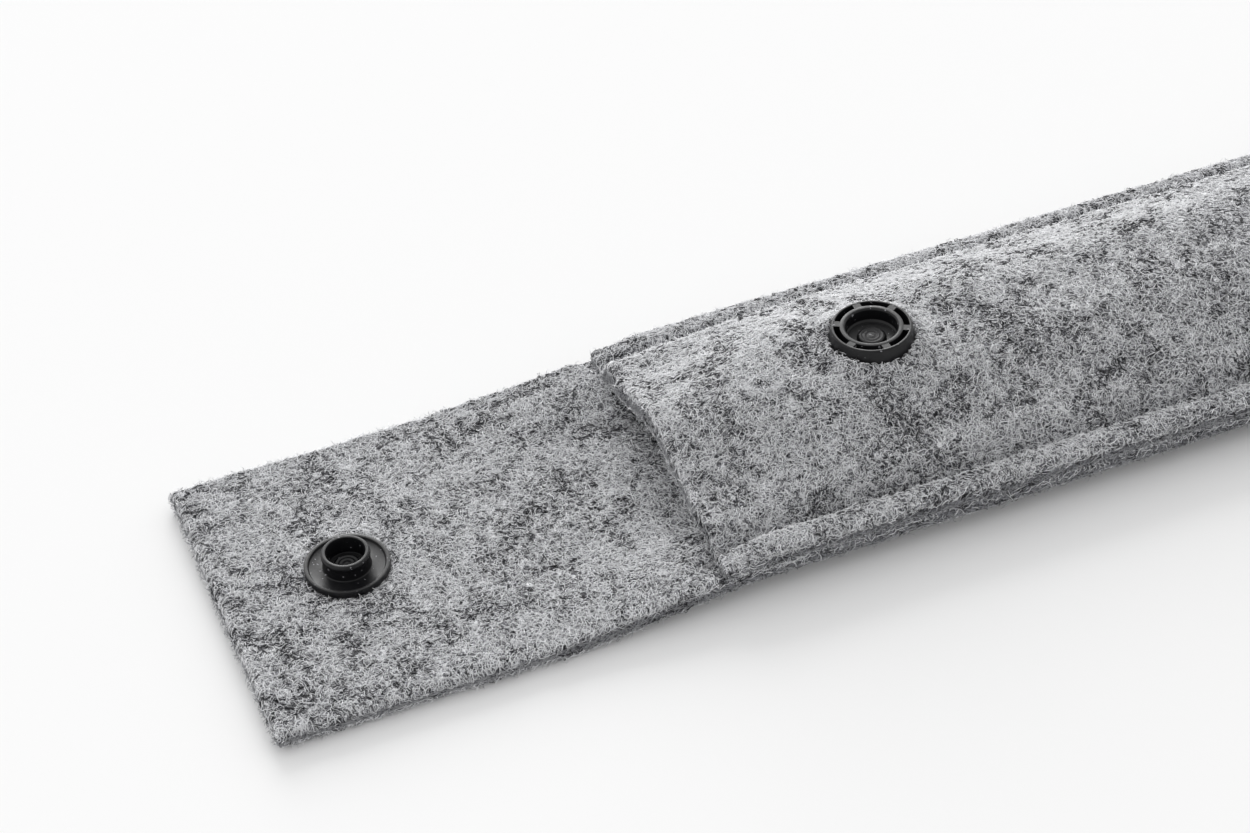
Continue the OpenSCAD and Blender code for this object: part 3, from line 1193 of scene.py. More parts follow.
def strand_group() -> bpy.types.NodeTree:
    """Group that paints crossing curved strands over heather patches on a map in millimetres.

    Returns:
        The group.
    """
    n, source, sink = new_group("FeltStrands", {"Vector": "Vector", "Patches": "Float"},
                                {"Tone": "Float", "Height": "Float"})
    where = source.outputs["Vector"]
    patch = n.noise(where, 0.36, 4.0, 0.66)
    curled = where
    for scale, reach in ((0.7, 2.2), (2.1, 0.75)):
        curl = n.noise(where, scale, 1.0)
        shift = n.add("ShaderNodeVectorMath", {0: curl.outputs["Color"], 1: (0.5, 0.5, 0.5)}, operation="SUBTRACT")
        shift = n.add("ShaderNodeVectorMath", {0: shift.outputs[0], "Scale": reach}, operation="SCALE")
        curled = n.add("ShaderNodeVectorMath", {0: curled, 1: shift.outputs[0]}, operation="ADD").outputs[0]
    spread = n.math("MULTIPLY", n.math("SUBTRACT", patch.outputs[0], 0.5), source.outputs["Patches"])
    tone: object = n.math("ADD", spread, 0.26)
    height: object = 0.0
    for number, layer in enumerate(STRAND_LAYERS):
        turned = n.add("ShaderNodeMapping", {
            "Vector": curled, "Location": (7.3 * number, 3.1 * number, 1.7 * number),
            "Rotation": (0, 0, layer.angle), "Scale": (1 / layer.along, 1 / layer.across, 1.0)},
            vector_type="TEXTURE")
        ridge = n.noise(turned.outputs[0], 1.0, 1.0, 0.4, 0.3)
        off = n.math("ABSOLUTE", n.math("SUBTRACT", ridge.outputs[0], 0.5))
        mask = n.remap(off, 0.0, layer.width, 1.0, 0.0)
        own = n.math("ADD", n.math("MULTIPLY", spread, 0.7), layer.tone)
        tone = n.mix_value(mask, tone, own)
        height = n.mix_value(mask, height, (number + 1) / len(STRAND_LAYERS))
    n.fill(sink, {"Tone": n.add("ShaderNodeClamp", {0: tone}).outputs[0], "Height": height})
    return n.tree


def new_material(name: str) -> tuple[bpy.types.Material, Nodes, bpy.types.Node]:
    """Starts a material with its Principled shader and output.

    Args:
        name: Name of the material.

    Returns:
        The material, its nodes and its shader.
    """
    material = bpy.data.materials.new(name)
    material.use_nodes = True
    material.node_tree.nodes.clear()
    n = Nodes(material.node_tree)
    shader = n.add("ShaderNodeBsdfPrincipled")
    n.add("ShaderNodeOutputMaterial", {"Surface": shader.outputs[0]})
    return material, n, shader


class Workshop:
    """Makes the materials, each once."""

    def __init__(self) -> None:
        """Builds the shared groups and the finishes."""
        self.tones = tone_group()
        self.strands = strand_group()
        self.felt = self.make_felt(FeltFinish())
        self.fibre = self.make_fibre(FeltFinish())
        self.snap = self.make_snap(SnapFinish())
        self.thread = self.make_thread(ThreadFinish())

    def coloured(self, n: Nodes, tone: bpy.types.NodeSocket, finish: FeltFinish) -> bpy.types.NodeSocket:
        """Puts the tone group into a material.

        Args:
            n: The material's nodes.
            tone: Tone from 0 to 1.
            finish: Colours of the felt.

        Returns:
            The colour.
        """
        colours = {"Dark": rgba(finish.dark), "Mid": rgba(finish.mid), "Light": rgba(finish.light)}
        return n.add("ShaderNodeGroup", {"Tone": tone, **colours}, node_tree=self.tones).outputs["Color"]

    def make_felt(self, finish: FeltFinish) -> bpy.types.Material:
        """Felt's body: painted strands over patches and painted shade on the cut faces, with bump.

        Args:
            finish: Colours and gloss.

        Returns:
            The material.
        """
        material, n, shader = new_material("felt_body")
        where = n.add("ShaderNodeUVMap", uv_map=PATTERN_UV).outputs[0]
        strands = n.add("ShaderNodeGroup", {"Vector": where, "Patches": finish.patches}, node_tree=self.strands)
        cut = n.add("ShaderNodeAttribute", attribute_name=CUT, attribute_type="GEOMETRY")
        # Painted shade: the cut_face mask lowers the tone of the cut faces.
        tone_after_painted_shade = n.math("SUBTRACT", 1.0, n.math("MULTIPLY", cut.outputs["Fac"], finish.cut_face_painted_shade))
        colour = self.coloured(n, n.math("MULTIPLY", strands.outputs["Tone"], tone_after_painted_shade), finish)
        n.fill(shader, {"Base Color": colour, "Normal": n.bump(strands.outputs["Height"], finish.bump),
                        "Roughness": finish.roughness, "Sheen Weight": finish.sheen,
                        "Specular IOR Level": finish.specular})
        return material

    def make_fibre(self, finish: FeltFinish) -> bpy.types.Material:
        """Single fibres, each with its own tone.

        Args:
            finish: Colours and gloss.

        Returns:
            The material.
        """
        material, n, shader = new_material("felt_fibre")
        tone = n.add("ShaderNodeAttribute", attribute_name=TONE, attribute_type="GEOMETRY").outputs["Fac"]
        n.fill(shader, {"Base Color": self.coloured(n, tone, finish), "Roughness": finish.fibre_roughness,
                        "Sheen Weight": finish.fibre_sheen, "Specular IOR Level": finish.fibre_specular})
        return material

    def make_snap(self, finish: SnapFinish) -> bpy.types.Material:
        """Black plastic with a fine moulded grain, rubbed a little and dusty in places.

        Args:
            finish: Colours and gloss.

        Returns:
            The material.
        """
        material, n, shader = new_material("snap_plastic")
        where = n.add("ShaderNodeTexCoord").outputs["Object"]
        grain = n.noise(where, finish.grain_scale, 2.0).outputs[0]
        rub = n.noise(where, finish.rub_scale, 4.0, 0.65).outputs[0]
        rubbed = n.mix_colour(n.remap(rub, 0.56, 0.78, 0.0, 0.55), rgba(finish.base), rgba(finish.worn))
        bits = n.noise(where, finish.speck_scale, 1.0).outputs[0]
        dusty = n.mix_colour(n.remap(bits, 0.725, 0.745, 0.0, 1.0), rubbed, rgba(finish.speck))
        rough = n.remap(rub, 0.3, 0.75, finish.smooth_to, finish.rough_to)
        n.fill(shader, {"Base Color": dusty, "Roughness": rough, "Specular IOR Level": finish.specular,
                        "Normal": n.bump(grain, finish.bump)})
        return material

    def make_thread(self, finish: ThreadFinish) -> bpy.types.Material:
        """Sewing thread with fine streaks along its plies.

        Args:
            finish: Colours and gloss.

        Returns:
            The material.
        """
        material, n, shader = new_material("sewing_thread")
        where = n.add("ShaderNodeTexCoord").outputs["Object"]
        streak = n.noise(where, finish.streak_scale, 2.0).outputs[0]
        colour = n.mix_colour(n.remap(streak, 0.35, 0.65, 0.0, 1.0), rgba(finish.shade), rgba(finish.light))
        n.fill(shader, {"Base Color": colour, "Roughness": finish.roughness, "Normal": n.bump(streak, finish.bump)})
        return material


class Part(Enum):
    """The felt pieces, by the names of their sheets."""

    BACK = "felt_back"
    FOLD = "felt_fold"
    COVER = "felt_cover"
    TIP = "felt_tip"
    FRONT = "felt_front"


class Face(Enum):
    """Faces of a sheet that fibres lie on."""

    TOP = "upper face and cut ends"
    WALL = "cut sides"
    UNDER = "lower face"


@dataclass(frozen=True)
class Sowing:
    """How many fibres go where; the span is measured from the fold line."""

    part: Part
    label: str
    count: int
    face: Face
    start: float = -100.0
    end: float = 200.0


SOWINGS = (
    Sowing(Part.TIP, "top_a", 6600, Face.TOP),
    Sowing(Part.TIP, "top_b", 6600, Face.TOP),
    Sowing(Part.COVER, "top", 5200, Face.TOP),
    Sowing(Part.FOLD, "top", 1800, Face.TOP),
    Sowing(Part.BACK, "mouth", 4000, Face.TOP, -3.0, 12.0),
    Sowing(Part.FRONT, "near_a", 8200, Face.TOP, -3.0, 42.0),
    Sowing(Part.FRONT, "near_b", 8200, Face.TOP, -3.0, 42.0),
    Sowing(Part.FRONT, "mid_a", 5500, Face.TOP, 42.0, 80.0),
    Sowing(Part.FRONT, "mid_b", 5500, Face.TOP, 42.0, 80.0),
    Sowing(Part.FRONT, "far", 4800, Face.TOP, 80.0, 110.0),
    Sowing(Part.FRONT, "end", 4200, Face.TOP, 110.0, 160.0),
    Sowing(Part.FRONT, "sides", 3600, Face.WALL),
    Sowing(Part.FRONT, "inside", 1500, Face.UNDER, -3.0, 12.0),
    Sowing(Part.BACK, "sides", 3600, Face.WALL),
    Sowing(Part.BACK, "under", 6000, Face.UNDER),
    Sowing(Part.FOLD, "rest", 600, Face.UNDER),
    Sowing(Part.FOLD, "sides", 300, Face.WALL),
    Sowing(Part.COVER, "under", 1300, Face.UNDER),
    Sowing(Part.COVER, "sides", 650, Face.WALL),
    Sowing(Part.TIP, "under", 2700, Face.UNDER),
    Sowing(Part.TIP, "sides", 1500, Face.WALL),
)


# Patches of light and dark fibres: share, shift of the field along and across, and size of a patch.
HEATHER = ((0.4, 0.0, 0.0, 3.6), (0.35, 40.0, 9.0, 1.5), (0.25, 9.0, 60.0, 0.7))


@dataclass
class FeltCase:
    """All the felt: the long strip in four pieces, the front panel, and their fibres."""

    sizes: CaseSizes
    shop: Workshop
    pitch: float = 0.5
    cover_run: float = 12.0
    tip_turn: tuple[float, float] = (4.0, 0.6)
    light_share: float = 0.80
    light_tone: float = 0.98
    dark_tone: float = 0.03
    tone_spread: float = 0.04
    # Painted shade, partly for the denser look of cut felt: share of tone kept by fibres lying on a cut wall.
    cut_wall_fibre_painted_shade: float = 0.7
    loose_tone: float = 0.95
    loose_above: float = 0.1
    fuzzy_ring: float = 0.6
    first_seed: int = 100
    skins: dict[Part, FeltSkin] = field(default_factory=dict)
    sheets: dict[Part, bpy.types.Object] = field(default_factory=dict)
    fuzz: dict[Part, list[bpy.types.Object]] = field(default_factory=dict)

    def splits(self) -> dict[Part, tuple[float, float]]:
        """Where each piece of the strip starts and ends along x.

        Returns:
            Start and end of each piece, by its part.
        """
        s = self.sizes
        lower_mid = (s.fold_x + s.upper_x) / 2
        upper_mid = (s.upper_x + s.cover_x) / 2
        flap_split = s.cover_x - self.cover_run
        return {
            Part.BACK: (lower_mid, s.end_x),
            Part.FOLD: (upper_mid, lower_mid),
            Part.COVER: (flap_split, upper_mid),
            Part.TIP: (s.flap_end_x, flap_split),
            Part.FRONT: (s.lip_x, s.end_x),
        }

    def build(self) -> None:
        """Makes the sheets and their fibres, puts the front panel's pieces on the pocket, and hides the plain solids.
        """
        s = self.sizes
        kinds = {Part.TIP: TipSkin, Part.FRONT: FrontSkin}
        cuts = {Part.BACK: (False, True), Part.FOLD: (False, False), Part.COVER: (False, False),
                Part.TIP: (True, False), Part.FRONT: (True, True)}
        for part, (x0, x1) in self.splits().items():
            seed = 43 if part is Part.FRONT else 41
            self.skins[part] = kinds.get(part, FeltSkin)(s, x0, x1, cuts[part], seed)
            self.sheets[part] = obj = FeltSheetMesh(part.value, self.skins[part], self.pitch).build()
            obj.data.materials.append(self.shop.felt)
            LOG.info("%s: %d faces", obj.name, len(obj.data.polygons))
        self.grow_fibres()
        for part, obj in self.sheets.items():
            for piece in [obj, *self.fuzz.get(part, [])]:
                self.attach(piece, part)
        self.declare()

    def attach(self, piece: bpy.types.Object, part: Part) -> None:
        """Puts a piece of the front panel on the pocket's body and bakes the place of any other piece.

        Args:
            piece: The sheet or a patch of its fibres.
            part: Which part of the felt it is.
        """
        if part is Part.FRONT:
            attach(piece, "pocket")
        else:
            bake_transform(piece)

    def tones_for(self, patch: FibrePatch, a: Array, b: Array) -> Array:
        """Picks fibre tones, mostly light over dark, in loose patches.

        Args:
            patch: The patch of fibres.
            a: Place of each fibre along the sheet.
            b: Its place across.

        Returns:
            Tones from 0 to 1.
        """
        rng, noise = patch.rng, SoftNoise(19)
        heather = sum(share * noise.at(a + da, b + db, cell) for share, da, db, cell in HEATHER)
        light = rng.random(len(a)) < self.light_share + heather
        return clamp01(rng.normal(np.where(light, self.light_tone, self.dark_tone), self.tone_spread))

    def grow_fibres(self) -> None:
        """Lays real fibres over every sheet, denser where they are seen."""
        strand = make_strand()
        look = FibreLook()
        for number, sowing in enumerate(SOWINGS):
            skin = self.skins[sowing.part]
            patch = FibrePatch(f"{sowing.part.value}_fuzz_{sowing.label}", look, self.first_seed + number)
            a, v = self.roots(patch, skin, sowing)
            half, t = self.sizes.felt_w / 2, self.sizes.felt_t
            beyond = np.abs(np.abs(v) - half - t / 2)
            for is_cut, past in ((skin.cut[0], skin.x0 - a), (skin.cut[1], a - skin.x1)):
                beyond = np.minimum(beyond, np.abs(past - t / 2)) if is_cut else beyond
            edge = clamp01(1 - (beyond - t / 2) / 0.5)
            if sowing.face is Face.TOP:
                for x, clear, kind in self.fittings():
                    ring = np.hypot(a - x, v) - clear
                    edge = np.maximum(edge, clamp01(1 - ring / self.fuzzy_ring) if isinstance(skin, kind) else 0.0)
            ways = patch.paths(a, v, skin.stretch(a, v), edge)
            centre, normal = skin.place(*ways)
            # Painted shade: fibres on the cut walls get darker tones.
            shade = np.where(beyond < t / 2 - 0.4, self.cut_wall_fibre_painted_shade, 1.0)
            loose = ways[2][:, -1] > self.loose_above
            tones = np.where(loose, self.loose_tone, self.tones_for(patch, a, v)) * shade
            piece = patch.make(strand, centre, normal, tones)
            piece.data.materials.append(self.shop.fibre)
            self.fuzz.setdefault(sowing.part, []).append(piece)
            LOG.info("%s: %d fibres", piece.name, len(a))
        bpy.data.objects.remove(strand)

    def fittings(self) -> tuple[tuple[float, float, type[FeltSkin]], ...]:
        """Stud and socket: place along x, radius free of fibres, and the skin under each."""
        s = self.sizes
        return (s.stud_x, 5.35, TipSkin), (s.socket_x, 5.6, FrontSkin)

    def roots(self, patch: FibrePatch, skin: FeltSkin, sowing: Sowing) -> tuple[Array, Array]:
        """Spreads the middles of fibres over part of a sheet.

        Args:
            patch: The patch of fibres.
            skin: The sheet.
            sowing: Where they go and how many.

        Returns:
            Places along the sheet and ways round it.
        """
        s, rng = self.sizes, patch.rng
        half, t = s.felt_w / 2, s.felt_t
        spare = t if sowing.face is Face.TOP else 0.0
        low = skin.x0 - (spare if skin.cut[0] else 0.0)
        high = skin.x1 + (spare if skin.cut[1] else 0.0)
        low, high = max(low, s.fold_x + sowing.start), min(high, s.fold_x + sowing.end)
        from_v, to_v = {Face.TOP: (-half, half), Face.WALL: (half - 0.6, half + t + 0.3),
                        Face.UNDER: (half + t, 2 * half + t)}[sowing.face]
        step = math.sqrt((high - low) * (to_v - from_v) / sowing.count)
        a, v = (q.ravel() for q in np.meshgrid(np.arange(low, high, step), np.arange(from_v, to_v, step)))
        a, v = (q + rng.uniform(0, step, len(q)) for q in (a, v))
        if sowing.face is Face.TOP:
            again = rng.random(len(a)) < skin.stretch(a, v) - 1
            a, v = (np.concatenate([q, q[again] + rng.uniform(-step, step, again.sum())]) for q in (a, v))
        else:
            v = v * rng.choice([-1.0, 1.0], len(v))
        for centre, clear, kind in self.fittings():
            if isinstance(skin, kind) and sowing.face is not Face.WALL:
                on_top = sowing.face is Face.TOP
                out = v if on_top else 2 * half + t - np.abs(v)
                keep = np.hypot(a - centre, out) > (clear if on_top else s.cap_seat_r + self.fuzzy_ring)
                a, v = a[keep], v[keep]
        return a, v

    def declare(self) -> None:
        """Hides the plain solids that the sheets replace; it also works out the front panel's inner face at the
        socket, which is not used.
        """
        s, w, fuzz = self.sizes, self.sizes.felt_w * MM, self.fuzz
        nodes = {Part.BACK: ("back_panel",), Part.FOLD: ("fold_strip_lower", "fold_strip_upper"),
                 Part.COVER: ("flap_cover",), Part.TIP: ("flap_tip",), Part.FRONT: ("front_panel",)}
        for part, names in nodes.items():
            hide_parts(*names)
        y = np.linspace(-s.felt_w / 2, s.felt_w / 2, 200)
        z = s.front_low(np.full_like(y, s.socket_u), y)


def sort_faces(bm: bmesh.types.BMesh) -> None:
    """Puts the faces in the order of their corners, because the spin leaves them in another order each run.

    Args:
        bm: Mesh whose faces are sorted.
    """
    bm.verts.index_update()
    by_corners = sorted(bm.faces, key=lambda face: sorted(v.index for v in face.verts))
    place = {face: i for i, face in enumerate(by_corners)}
    bm.faces.sort(key=place.get)


def spun(name: str, outline: list[tuple[float, float]], centre: tuple[float, float], lift: float,
         steps: int = 96, bevel: float = 0.06) -> bpy.types.Object:
    """Turns a closed outline round the vertical axis into a solid ring.

    Args:
        name: Name of the piece.
        outline: Corners as (radius, height), in millimetres.
        centre: Axis in plan.
        lift: Height of the outline's zero.
        steps: Steps of the full turn.
        bevel: Width of the rounding on the outline's corners.

    Returns:
        The piece.
    """
    bm = bmesh.new()
    verts = [bm.verts.new((r, 0.0, z)) for r, z in outline]
    bm.faces.new(verts)
    sharp = [v for v in verts if v.co.x > 1e-6]
    bmesh.ops.bevel(bm, geom=sharp, affect="VERTICES", offset=bevel, segments=2, profile=0.5, material=-1)
    edges = list(bm.edges)
    bmesh.ops.delete(bm, geom=list(bm.faces), context="FACES_ONLY")
    bmesh.ops.spin(bm, geom=[*bm.verts, *edges], cent=(0, 0, 0), axis=(0, 0, 1), dvec=(0, 0, 0),
                   angle=math.tau, steps=steps, use_merge=True, use_duplicate=False)
    bmesh.ops.remove_doubles(bm, verts=bm.verts, dist=1e-5)
    sort_faces(bm)
    bmesh.ops.recalc_face_normals(bm, faces=bm.faces)
    bmesh.ops.translate(bm, verts=bm.verts, vec=(centre[0], centre[1], lift))
    bmesh.ops.scale(bm, verts=bm.verts, vec=(MM, MM, MM))
    return new_object(name, bm)


@dataclass
class PressStud:
    """The plastic press stud: stud, socket, and the two caps with their pins."""

    sizes: CaseSizes
    shop: Workshop
    stud_d: float = 10.8
    stud_rim_t: float = 1.1
    stud_rim_w: float = 0.5
    stud_dish: float = 0.3
    post_d: float = 6.2
    post_wall: float = 0.6
    post_h: float = 2.0
    socket_d: float = 11.2
    socket_taper: float = 0.8
    socket_h: float = 2.1
    socket_sunk: float = 0.5
    snap_play: float = 0.25
    ring_w: float = 0.72
    wall_w: float = 0.38
    bore_step: float = 0.3
    ribs: int = 6
    rib_w: float = 1.0
    rib_drop: float = 0.02
    rib_hold: float = 0.15
    floor_t: float = 0.6
    pin_d: float = 2.6
    rivet_d: float = 3.8
    rivet_h: float = 0.5
    cap_rim_t: float = 0.8

    def build(self) -> None:
        """Makes the four pieces and replaces the plain ones."""
        s = self.sizes
        floors = s.felt_t + self.floor_t, s.felt_t - self.socket_sunk + self.floor_t
        for obj, node, body in (
                (self.stud(), "snap_stud", "tip"), (self.socket(), "snap_socket", "pocket"),
                (self.cap("snap_cap_flap", s.stud_x, 0.0, floors[0]), "stud_cap", "tip"),
                (self.cap("snap_cap_pocket", s.socket_x, s.crown_z - s.felt_t, floors[1]), "socket_cap", "pocket")):
            dress(obj, self.shop.snap, node, body)

    def stud(self) -> bpy.types.Object:
        """Flange with a raised rim and a dished web, and the hollow post.

        Returns:
            The piece.
        """
        hole = self.pin_d / 2 + self.sizes.pin_play
        rim, post = self.stud_d / 2, self.post_d / 2
        web, top = self.stud_rim_t - self.stud_dish, self.stud_rim_t + self.post_h
        outline = [
            (hole, 0), (rim - 0.25, 0), (rim, 0.25), (rim, self.stud_rim_t), (rim - self.stud_rim_w, self.stud_rim_t),
            (rim - self.stud_rim_w - 0.12, web), (post + 0.02, web - 0.04), (post - 0.08, web + 0.06),
            (post - 0.1, top - 0.9), (post, top - 0.6), (post, top - 0.25), (post - 0.2, top),
            (post - self.post_wall, top), (post - self.post_wall, self.floor_t), (hole, self.floor_t),
        ]
        return spun("snap_stud_half", outline, (self.sizes.stud_x, 0), self.sizes.felt_t)

    def socket(self) -> bpy.types.Object:
        """Two rings on one floor with ribs between them, and a step at the foot of the bore.

        Returns:
            The piece.
        """
        s = self.sizes
        height = self.socket_h + self.socket_sunk
        hole = self.pin_d / 2 + s.pin_play
        base = self.socket_d / 2
        top = base - self.socket_taper / 2
        slot_out, bore = top - self.wall_w, self.post_d / 2 + self.snap_play
        slot_in = bore + self.ring_w
        outline = [
            (hole, 0), (base, 0), (base, self.socket_sunk), (top + 0.08, height - 0.5), (top, height - 0.12),
            (top - 0.12, height), (slot_out, height), (slot_out, self.floor_t), (slot_in, self.floor_t),
            (slot_in, height), (bore + 0.2, height), (bore, height - 0.2), (bore, self.floor_t + 0.3),
            (bore - self.bore_step, self.floor_t + 0.12), (bore - self.bore_step - 0.02, self.floor_t),
            (hole, self.floor_t),
        ]
        lift = s.crown_z - self.socket_sunk
        ring = spun("snap_socket_half", outline, (s.socket_x, 0), lift, bevel=0.05)
        bm = bmesh.new()
        bm.from_mesh(ring.data)
        span = slot_out - slot_in + 2 * self.rib_hold
        rise = height - self.floor_t / 2 - self.rib_drop
        place = ((slot_in + slot_out) / 2 * MM, 0, (self.floor_t / 2 + rise / 2) * MM)
        for i in range(self.ribs):
            angle = math.tau * (i + 0.5) / self.ribs
            made = bmesh.ops.create_cube(bm, size=1.0)["verts"]
            bmesh.ops.scale(bm, verts=made, vec=(span * MM, self.rib_w * MM, rise * MM))
            bmesh.ops.translate(bm, verts=made, vec=place)
            bmesh.ops.rotate(bm, verts=made, cent=(0, 0, 0), matrix=Matrix.Rotation(angle, 3, "Z"))
            bmesh.ops.translate(bm, verts=made, vec=(s.socket_x * MM, 0, lift * MM))
        bm.to_mesh(ring.data)
        bm.free()
        return ring

    def cap(self, name: str, x: float, z: float, floor_z: float) -> bpy.types.Object:
        """A shallow domed cap and its pin, whose end was pressed flat in rings.

        Args:
            name: Name of the piece.
            x: Its axis along the case.
            z: Height of the dome's lowest point.
            floor_z: Height of the floor under the pin's head.

        Returns:
            The piece.
        """
        s = self.sizes
        rim_z = s.cap_t - self.cap_rim_t
        radius = s.cap_d / 2
        dome = [(radius * t, rim_z * t * t) for t in (0.0, 0.25, 0.5, 0.75, 0.92)]
        head, top = self.rivet_d / 2, floor_z + self.rivet_h
        outline = [*dome, (radius, rim_z), (radius, s.cap_t), (self.pin_d / 2, s.cap_t), (self.pin_d / 2, floor_z),
                   (head - 0.1, floor_z), (head, floor_z + 0.12), (head - 0.25, top - 0.08), (head - 0.5, top),
                   (head - 0.75, top - 0.12), (head - 1.0, top - 0.03), (head - 1.25, top - 0.14), (0.25, top - 0.05),
                   (0.0, top - 0.1)]
        return spun(name, outline, (x, 0), z, bevel=0.04)


@dataclass
class Seam:
    """The lock stitches of both threads, each stitch two twisted plies."""

    sizes: CaseSizes
    shop: Workshop
    sides: int = 5
    stations: int = 9
    sunk_share: float = 0.75
    dive: float = 0.85
    ply_share: float = 0.28
    tail_ply_share: float = 0.22
    twist_pitch: float = 2.4
    phase_step: float = 0.4
    tail_past: float = 1.6
    tail_off: float = 0.6
    tail_lift: float = 0.35

    def holes(self) -> list[tuple[tuple[float, float], tuple[float, float]]]:
        """Both ends of every stitch, as (u, y).

        Returns:
            One pair of ends for each stitch.
        """
        s = self.sizes
        side_count = int((s.seam_u - s.seam_start) // s.stitch_pitch)
        y_end = float(s.seam_y(np.array(s.seam_u)))
        end_count = int(2 * y_end // s.stitch_pitch)

        def side_hole(i: int, side: float) -> tuple[float, float]:
            """A hole of a side seam, counted from the closed end."""
            u = s.seam_u - i * s.stitch_pitch
            return u, side * float(s.seam_y(np.array(u)))

        def end_hole(i: int) -> tuple[float, float]:
            """A hole of the end seam."""
            return s.seam_u, -y_end + 2 * y_end * i / end_count

        sides = [(side_hole(i + 1, k), side_hole(i, k)) for k in (-1.0, 1.0) for i in range(side_count)]
        return sides + [(end_hole(i), end_hole(i + 1)) for i in range(end_count)]

    def build(self) -> None:
        """Makes both threads."""
        s = self.sizes
        r = s.thread_d / 2

        def above(u: Array, y: Array) -> Array:
            """Level of the needle thread over the groove."""
            return s.front_low(u, y) + s.groove_t - s.groove_deep + r * self.sunk_share

        def below(u: Array, y: Array) -> Array:
            """Level of the bobbin thread under the groove."""
            return s.back_low(u, y) + s.flange_t - s.groove_t - r * self.sunk_share

        for name, node, level, sign in (("needle_stitches", "needle_thread", above, 1.0),
                                        ("bobbin_stitches", "bobbin_thread", below, -1.0)):
            dress(self.stitches(name, level, sign), self.shop.thread, node, "pocket")

    def stitches(self, name: str, level: Level, sign: float) -> bpy.types.Object:
        """Makes one thread's stitches.

        Args:
            name: Name of the piece.
            level: Height of the thread's axis at (u, y).
            sign: 1 where the thread's ends dive down, -1 where they dive up.

        Returns:
            The piece.
        """
        s = self.sizes
        bm = bmesh.new()
        t = np.linspace(0, 1, self.stations)
        for number, (a, b) in enumerate(self.holes()):
            u = a[0] + (b[0] - a[0]) * t
            y = a[1] + (b[1] - a[1]) * t
            z = level(u, y) - sign * self.dive * np.abs(2 * t - 1) ** 5
            way = np.stack([u + s.fold_x, y, z], -1)
            for ply in (0.0, math.pi):
                self.ply(bm, way, ply + self.phase_step * number, s.thread_d * self.ply_share)
        if sign > 0:
            for ply in (0.0, math.pi):
                self.ply(bm, self.tail(level), ply, s.thread_d * self.tail_ply_share)
        bmesh.ops.scale(bm, verts=bm.verts, vec=(MM, MM, MM))
        return new_object(name, bm)

    def tail(self, level: Level) -> Array:
        """Way of the thread's short end, from the first hole over the mouth's edge.

        Args:
            level: Height of the thread's axis at (u, y).

        Returns:
            Points of the way, in millimetres.
        """
        s = self.sizes
        t = np.linspace(0, 1, self.stations)
        first = s.seam_u - s.stitch_pitch * int((s.seam_u - s.seam_start) // s.stitch_pitch)
        u = first - (first + self.tail_past) * t
        y = -s.seam_y(u) - 0.5 * np.sin(2.2 * t)
        over = level(np.maximum(u, self.tail_off), y) + self.tail_lift
        rest = s.back_high(u, y) + s.thread_d * 0.5
        z = mix(over, rest, smooth((self.tail_off - u) / 0.8)) - clamp01(1 - 4 * t)
        return np.stack([u + s.fold_x, y, z], -1)

    def ply(self, bm: bmesh.types.BMesh, way: Array, phase: float, radius: float) -> None:
        """Sweeps one ply along a stitch.

        Args:
            bm: The mesh to add to.
            way: Points of the thread's axis.
            phase: Where the ply starts round the axis.
            radius: Radius of the ply.
        """
        ahead = unit(np.gradient(way, axis=0))
        across = unit(np.cross(ahead, np.array([0.0, 0.0, 1.0])))
        up = np.cross(across, ahead)
        run = np.concatenate([[0], np.cumsum(np.linalg.norm(np.diff(way, axis=0), axis=1))])
        turn = phase + run * math.tau / self.twist_pitch
        axis = way + radius * (across * np.cos(turn)[:, None] + up * np.sin(turn)[:, None])
        last: list[bmesh.types.BMVert] = []
        for i, centre in enumerate(axis):
            frame = Matrix((across[i], up[i], ahead[i])).transposed().to_4x4()
            frame.translation = Vector(centre)
            ring = bmesh.ops.create_circle(bm, cap_ends=i in (0, len(axis) - 1), segments=self.sides,
                                           radius=radius, matrix=frame)["verts"]
            for k in range(self.sides if last else 0):
                m = (k + 1) % self.sides
                bm.faces.new((last[k], last[m], ring[m], ring[k]))
            last = ring


@dataclass(frozen=True)
class PhotoCamera:
    """The camera at the photograph's angle, in millimetres and degrees."""

    azimuth: float = -18.58
    elevation: float = 40.657
    roll: float = -4.391
    distance: float = 420.0
    focal_px: float = 3195.261
    aim_x: float = -46.98
    aim_y: float = 15.387
    width_px: float = 1250.0
    sensor: float = 36.0

    def build(self) -> None:
        """Makes the camera and sets it as the scene's."""
        az, el, roll = (math.radians(q) for q in (self.azimuth, self.elevation, self.roll))
        back = Vector((math.sin(az) * math.cos(el), -math.cos(az) * math.cos(el), math.sin(el)))
        right = (-back).cross(Vector((0, 0, 1))).normalized()
        up = right.cross(-back)
        right, up = math.cos(roll) * right + math.sin(roll) * up, -math.sin(roll) * right + math.cos(roll) * up
        data = bpy.data.cameras.new("camera")
        data.sensor_fit = "HORIZONTAL"
        data.sensor_width = self.sensor
        data.lens = self.focal_px / self.width_px * self.sensor
        data.clip_start, data.clip_end = 0.01, 20.0
        turn = Matrix((right, up, back)).transposed().to_4x4()
        turn.translation = (Vector((self.aim_x, self.aim_y, 0)) + back * self.distance) * MM
        camera = linked("camera", data)
        camera.matrix_world = turn
        bpy.context.scene.camera = camera


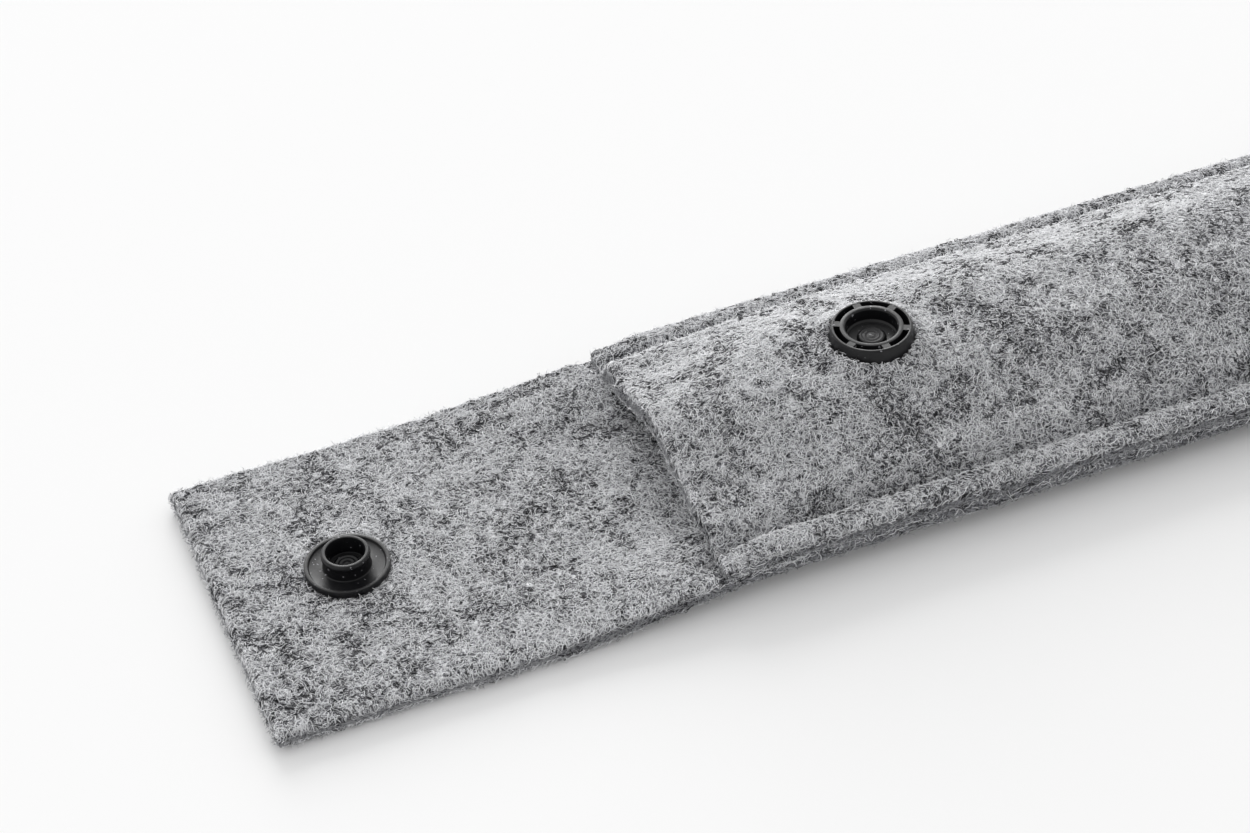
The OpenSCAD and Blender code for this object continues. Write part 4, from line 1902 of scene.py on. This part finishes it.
@dataclass
class Studio:
    """Pale floor, bright surround and soft lamps."""

    floor_shade: float = 0.78
    floor_glow: float = 0.08
    backdrop: float = 0.95
    surround: float = 0.87
    lean: float = 0.55
    beyond: tuple[float, float, float] = (0.2, 0.98, 0.0)
    aim_x: float = -0.04

    def build(self) -> None:
        """Sets up the floor, the world and the lamps."""
        bpy.context.scene.view_settings.view_transform = "Standard"
        self.floor()
        self.world()
        self.lamp("key", (1.1, 4.6, 2.0), 2.8, 170.0)
        self.lamp("fill", (-0.42, -0.30, 0.40), 0.5, 0.2)

    def floor(self) -> None:
        """Wide pale floor that keeps the object's shadow."""
        bm = bmesh.new()
        bmesh.ops.create_grid(bm, x_segments=1, y_segments=1, size=3.0)
        floor = new_object("floor", bm)
        floor.data.materials.append(self.floor_material())

    def floor_material(self) -> bpy.types.Material:
        """Matt pale floor, a little brighter where the camera sees it.

        Returns:
            The material.
        """
        material, n, shader = new_material("floor_paper")
        glow = n.math("MULTIPLY", n.seen("Is Camera Ray", "Is Glossy Ray", "Is Transmission Ray"), self.floor_glow)
        n.fill(shader, {"Base Color": (self.floor_shade,) * 3 + (1.0,), "Roughness": 0.9, "Specular IOR Level": 0.1,
                        "Emission Color": (1, 1, 1, 1), "Emission Strength": glow})
        return material

    def world(self) -> None:
        """Surround light, a little stronger from beyond the case, white where the camera sees it."""
        world = bpy.data.worlds.new("surround")
        bpy.context.scene.world = world
        world.use_nodes = True
        world.node_tree.nodes.clear()
        n = Nodes(world.node_tree)
        way = n.add("ShaderNodeTexCoord").outputs["Generated"]
        ahead = n.add("ShaderNodeVectorMath", {0: way, 1: self.beyond}, operation="DOT_PRODUCT").outputs["Value"]
        gain = n.math("ADD", n.math("MULTIPLY", ahead, self.lean), 1.0)
        seen = n.seen("Is Camera Ray", "Is Transmission Ray")
        strength = n.mix_value(seen, n.math("MULTIPLY", gain, self.surround), self.backdrop)
        light = n.add("ShaderNodeBackground", {"Color": (1, 1, 1, 1), "Strength": strength})
        n.add("ShaderNodeOutputWorld", {0: light.outputs[0]})

    def lamp(self, name: str, place: tuple[float, float, float], size: float, power: float) -> None:
        """Adds a square soft lamp that faces the case.

        Args:
            name: Name of the lamp.
            place: Where it stands, in metres.
            size: Side of its square.
            power: Power in watts.
        """
        data = bpy.data.lights.new(name, "AREA")
        data.size, data.energy = size, power
        lamp = linked(name, data)
        lamp.location = place
        lamp.visible_camera = False
        aim = Vector((self.aim_x, 0, 0)) - Vector(place)
        lamp.rotation_euler = aim.to_track_quat("-Z", "Y").to_euler()


def main() -> None:
    """Builds the dressed case."""
    logging.basicConfig(level=logging.INFO, format="%(message)s")
    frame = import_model()
    sizes = CaseSizes()
    sizes.read_frame(frame)
    PhotoCamera().build()
    Studio().build()
    shop = Workshop()
    FeltCase(sizes, shop).build()
    PressStud(sizes, shop).build()
    Seam(sizes, shop).build()


if __name__ == "__main__":
    main()
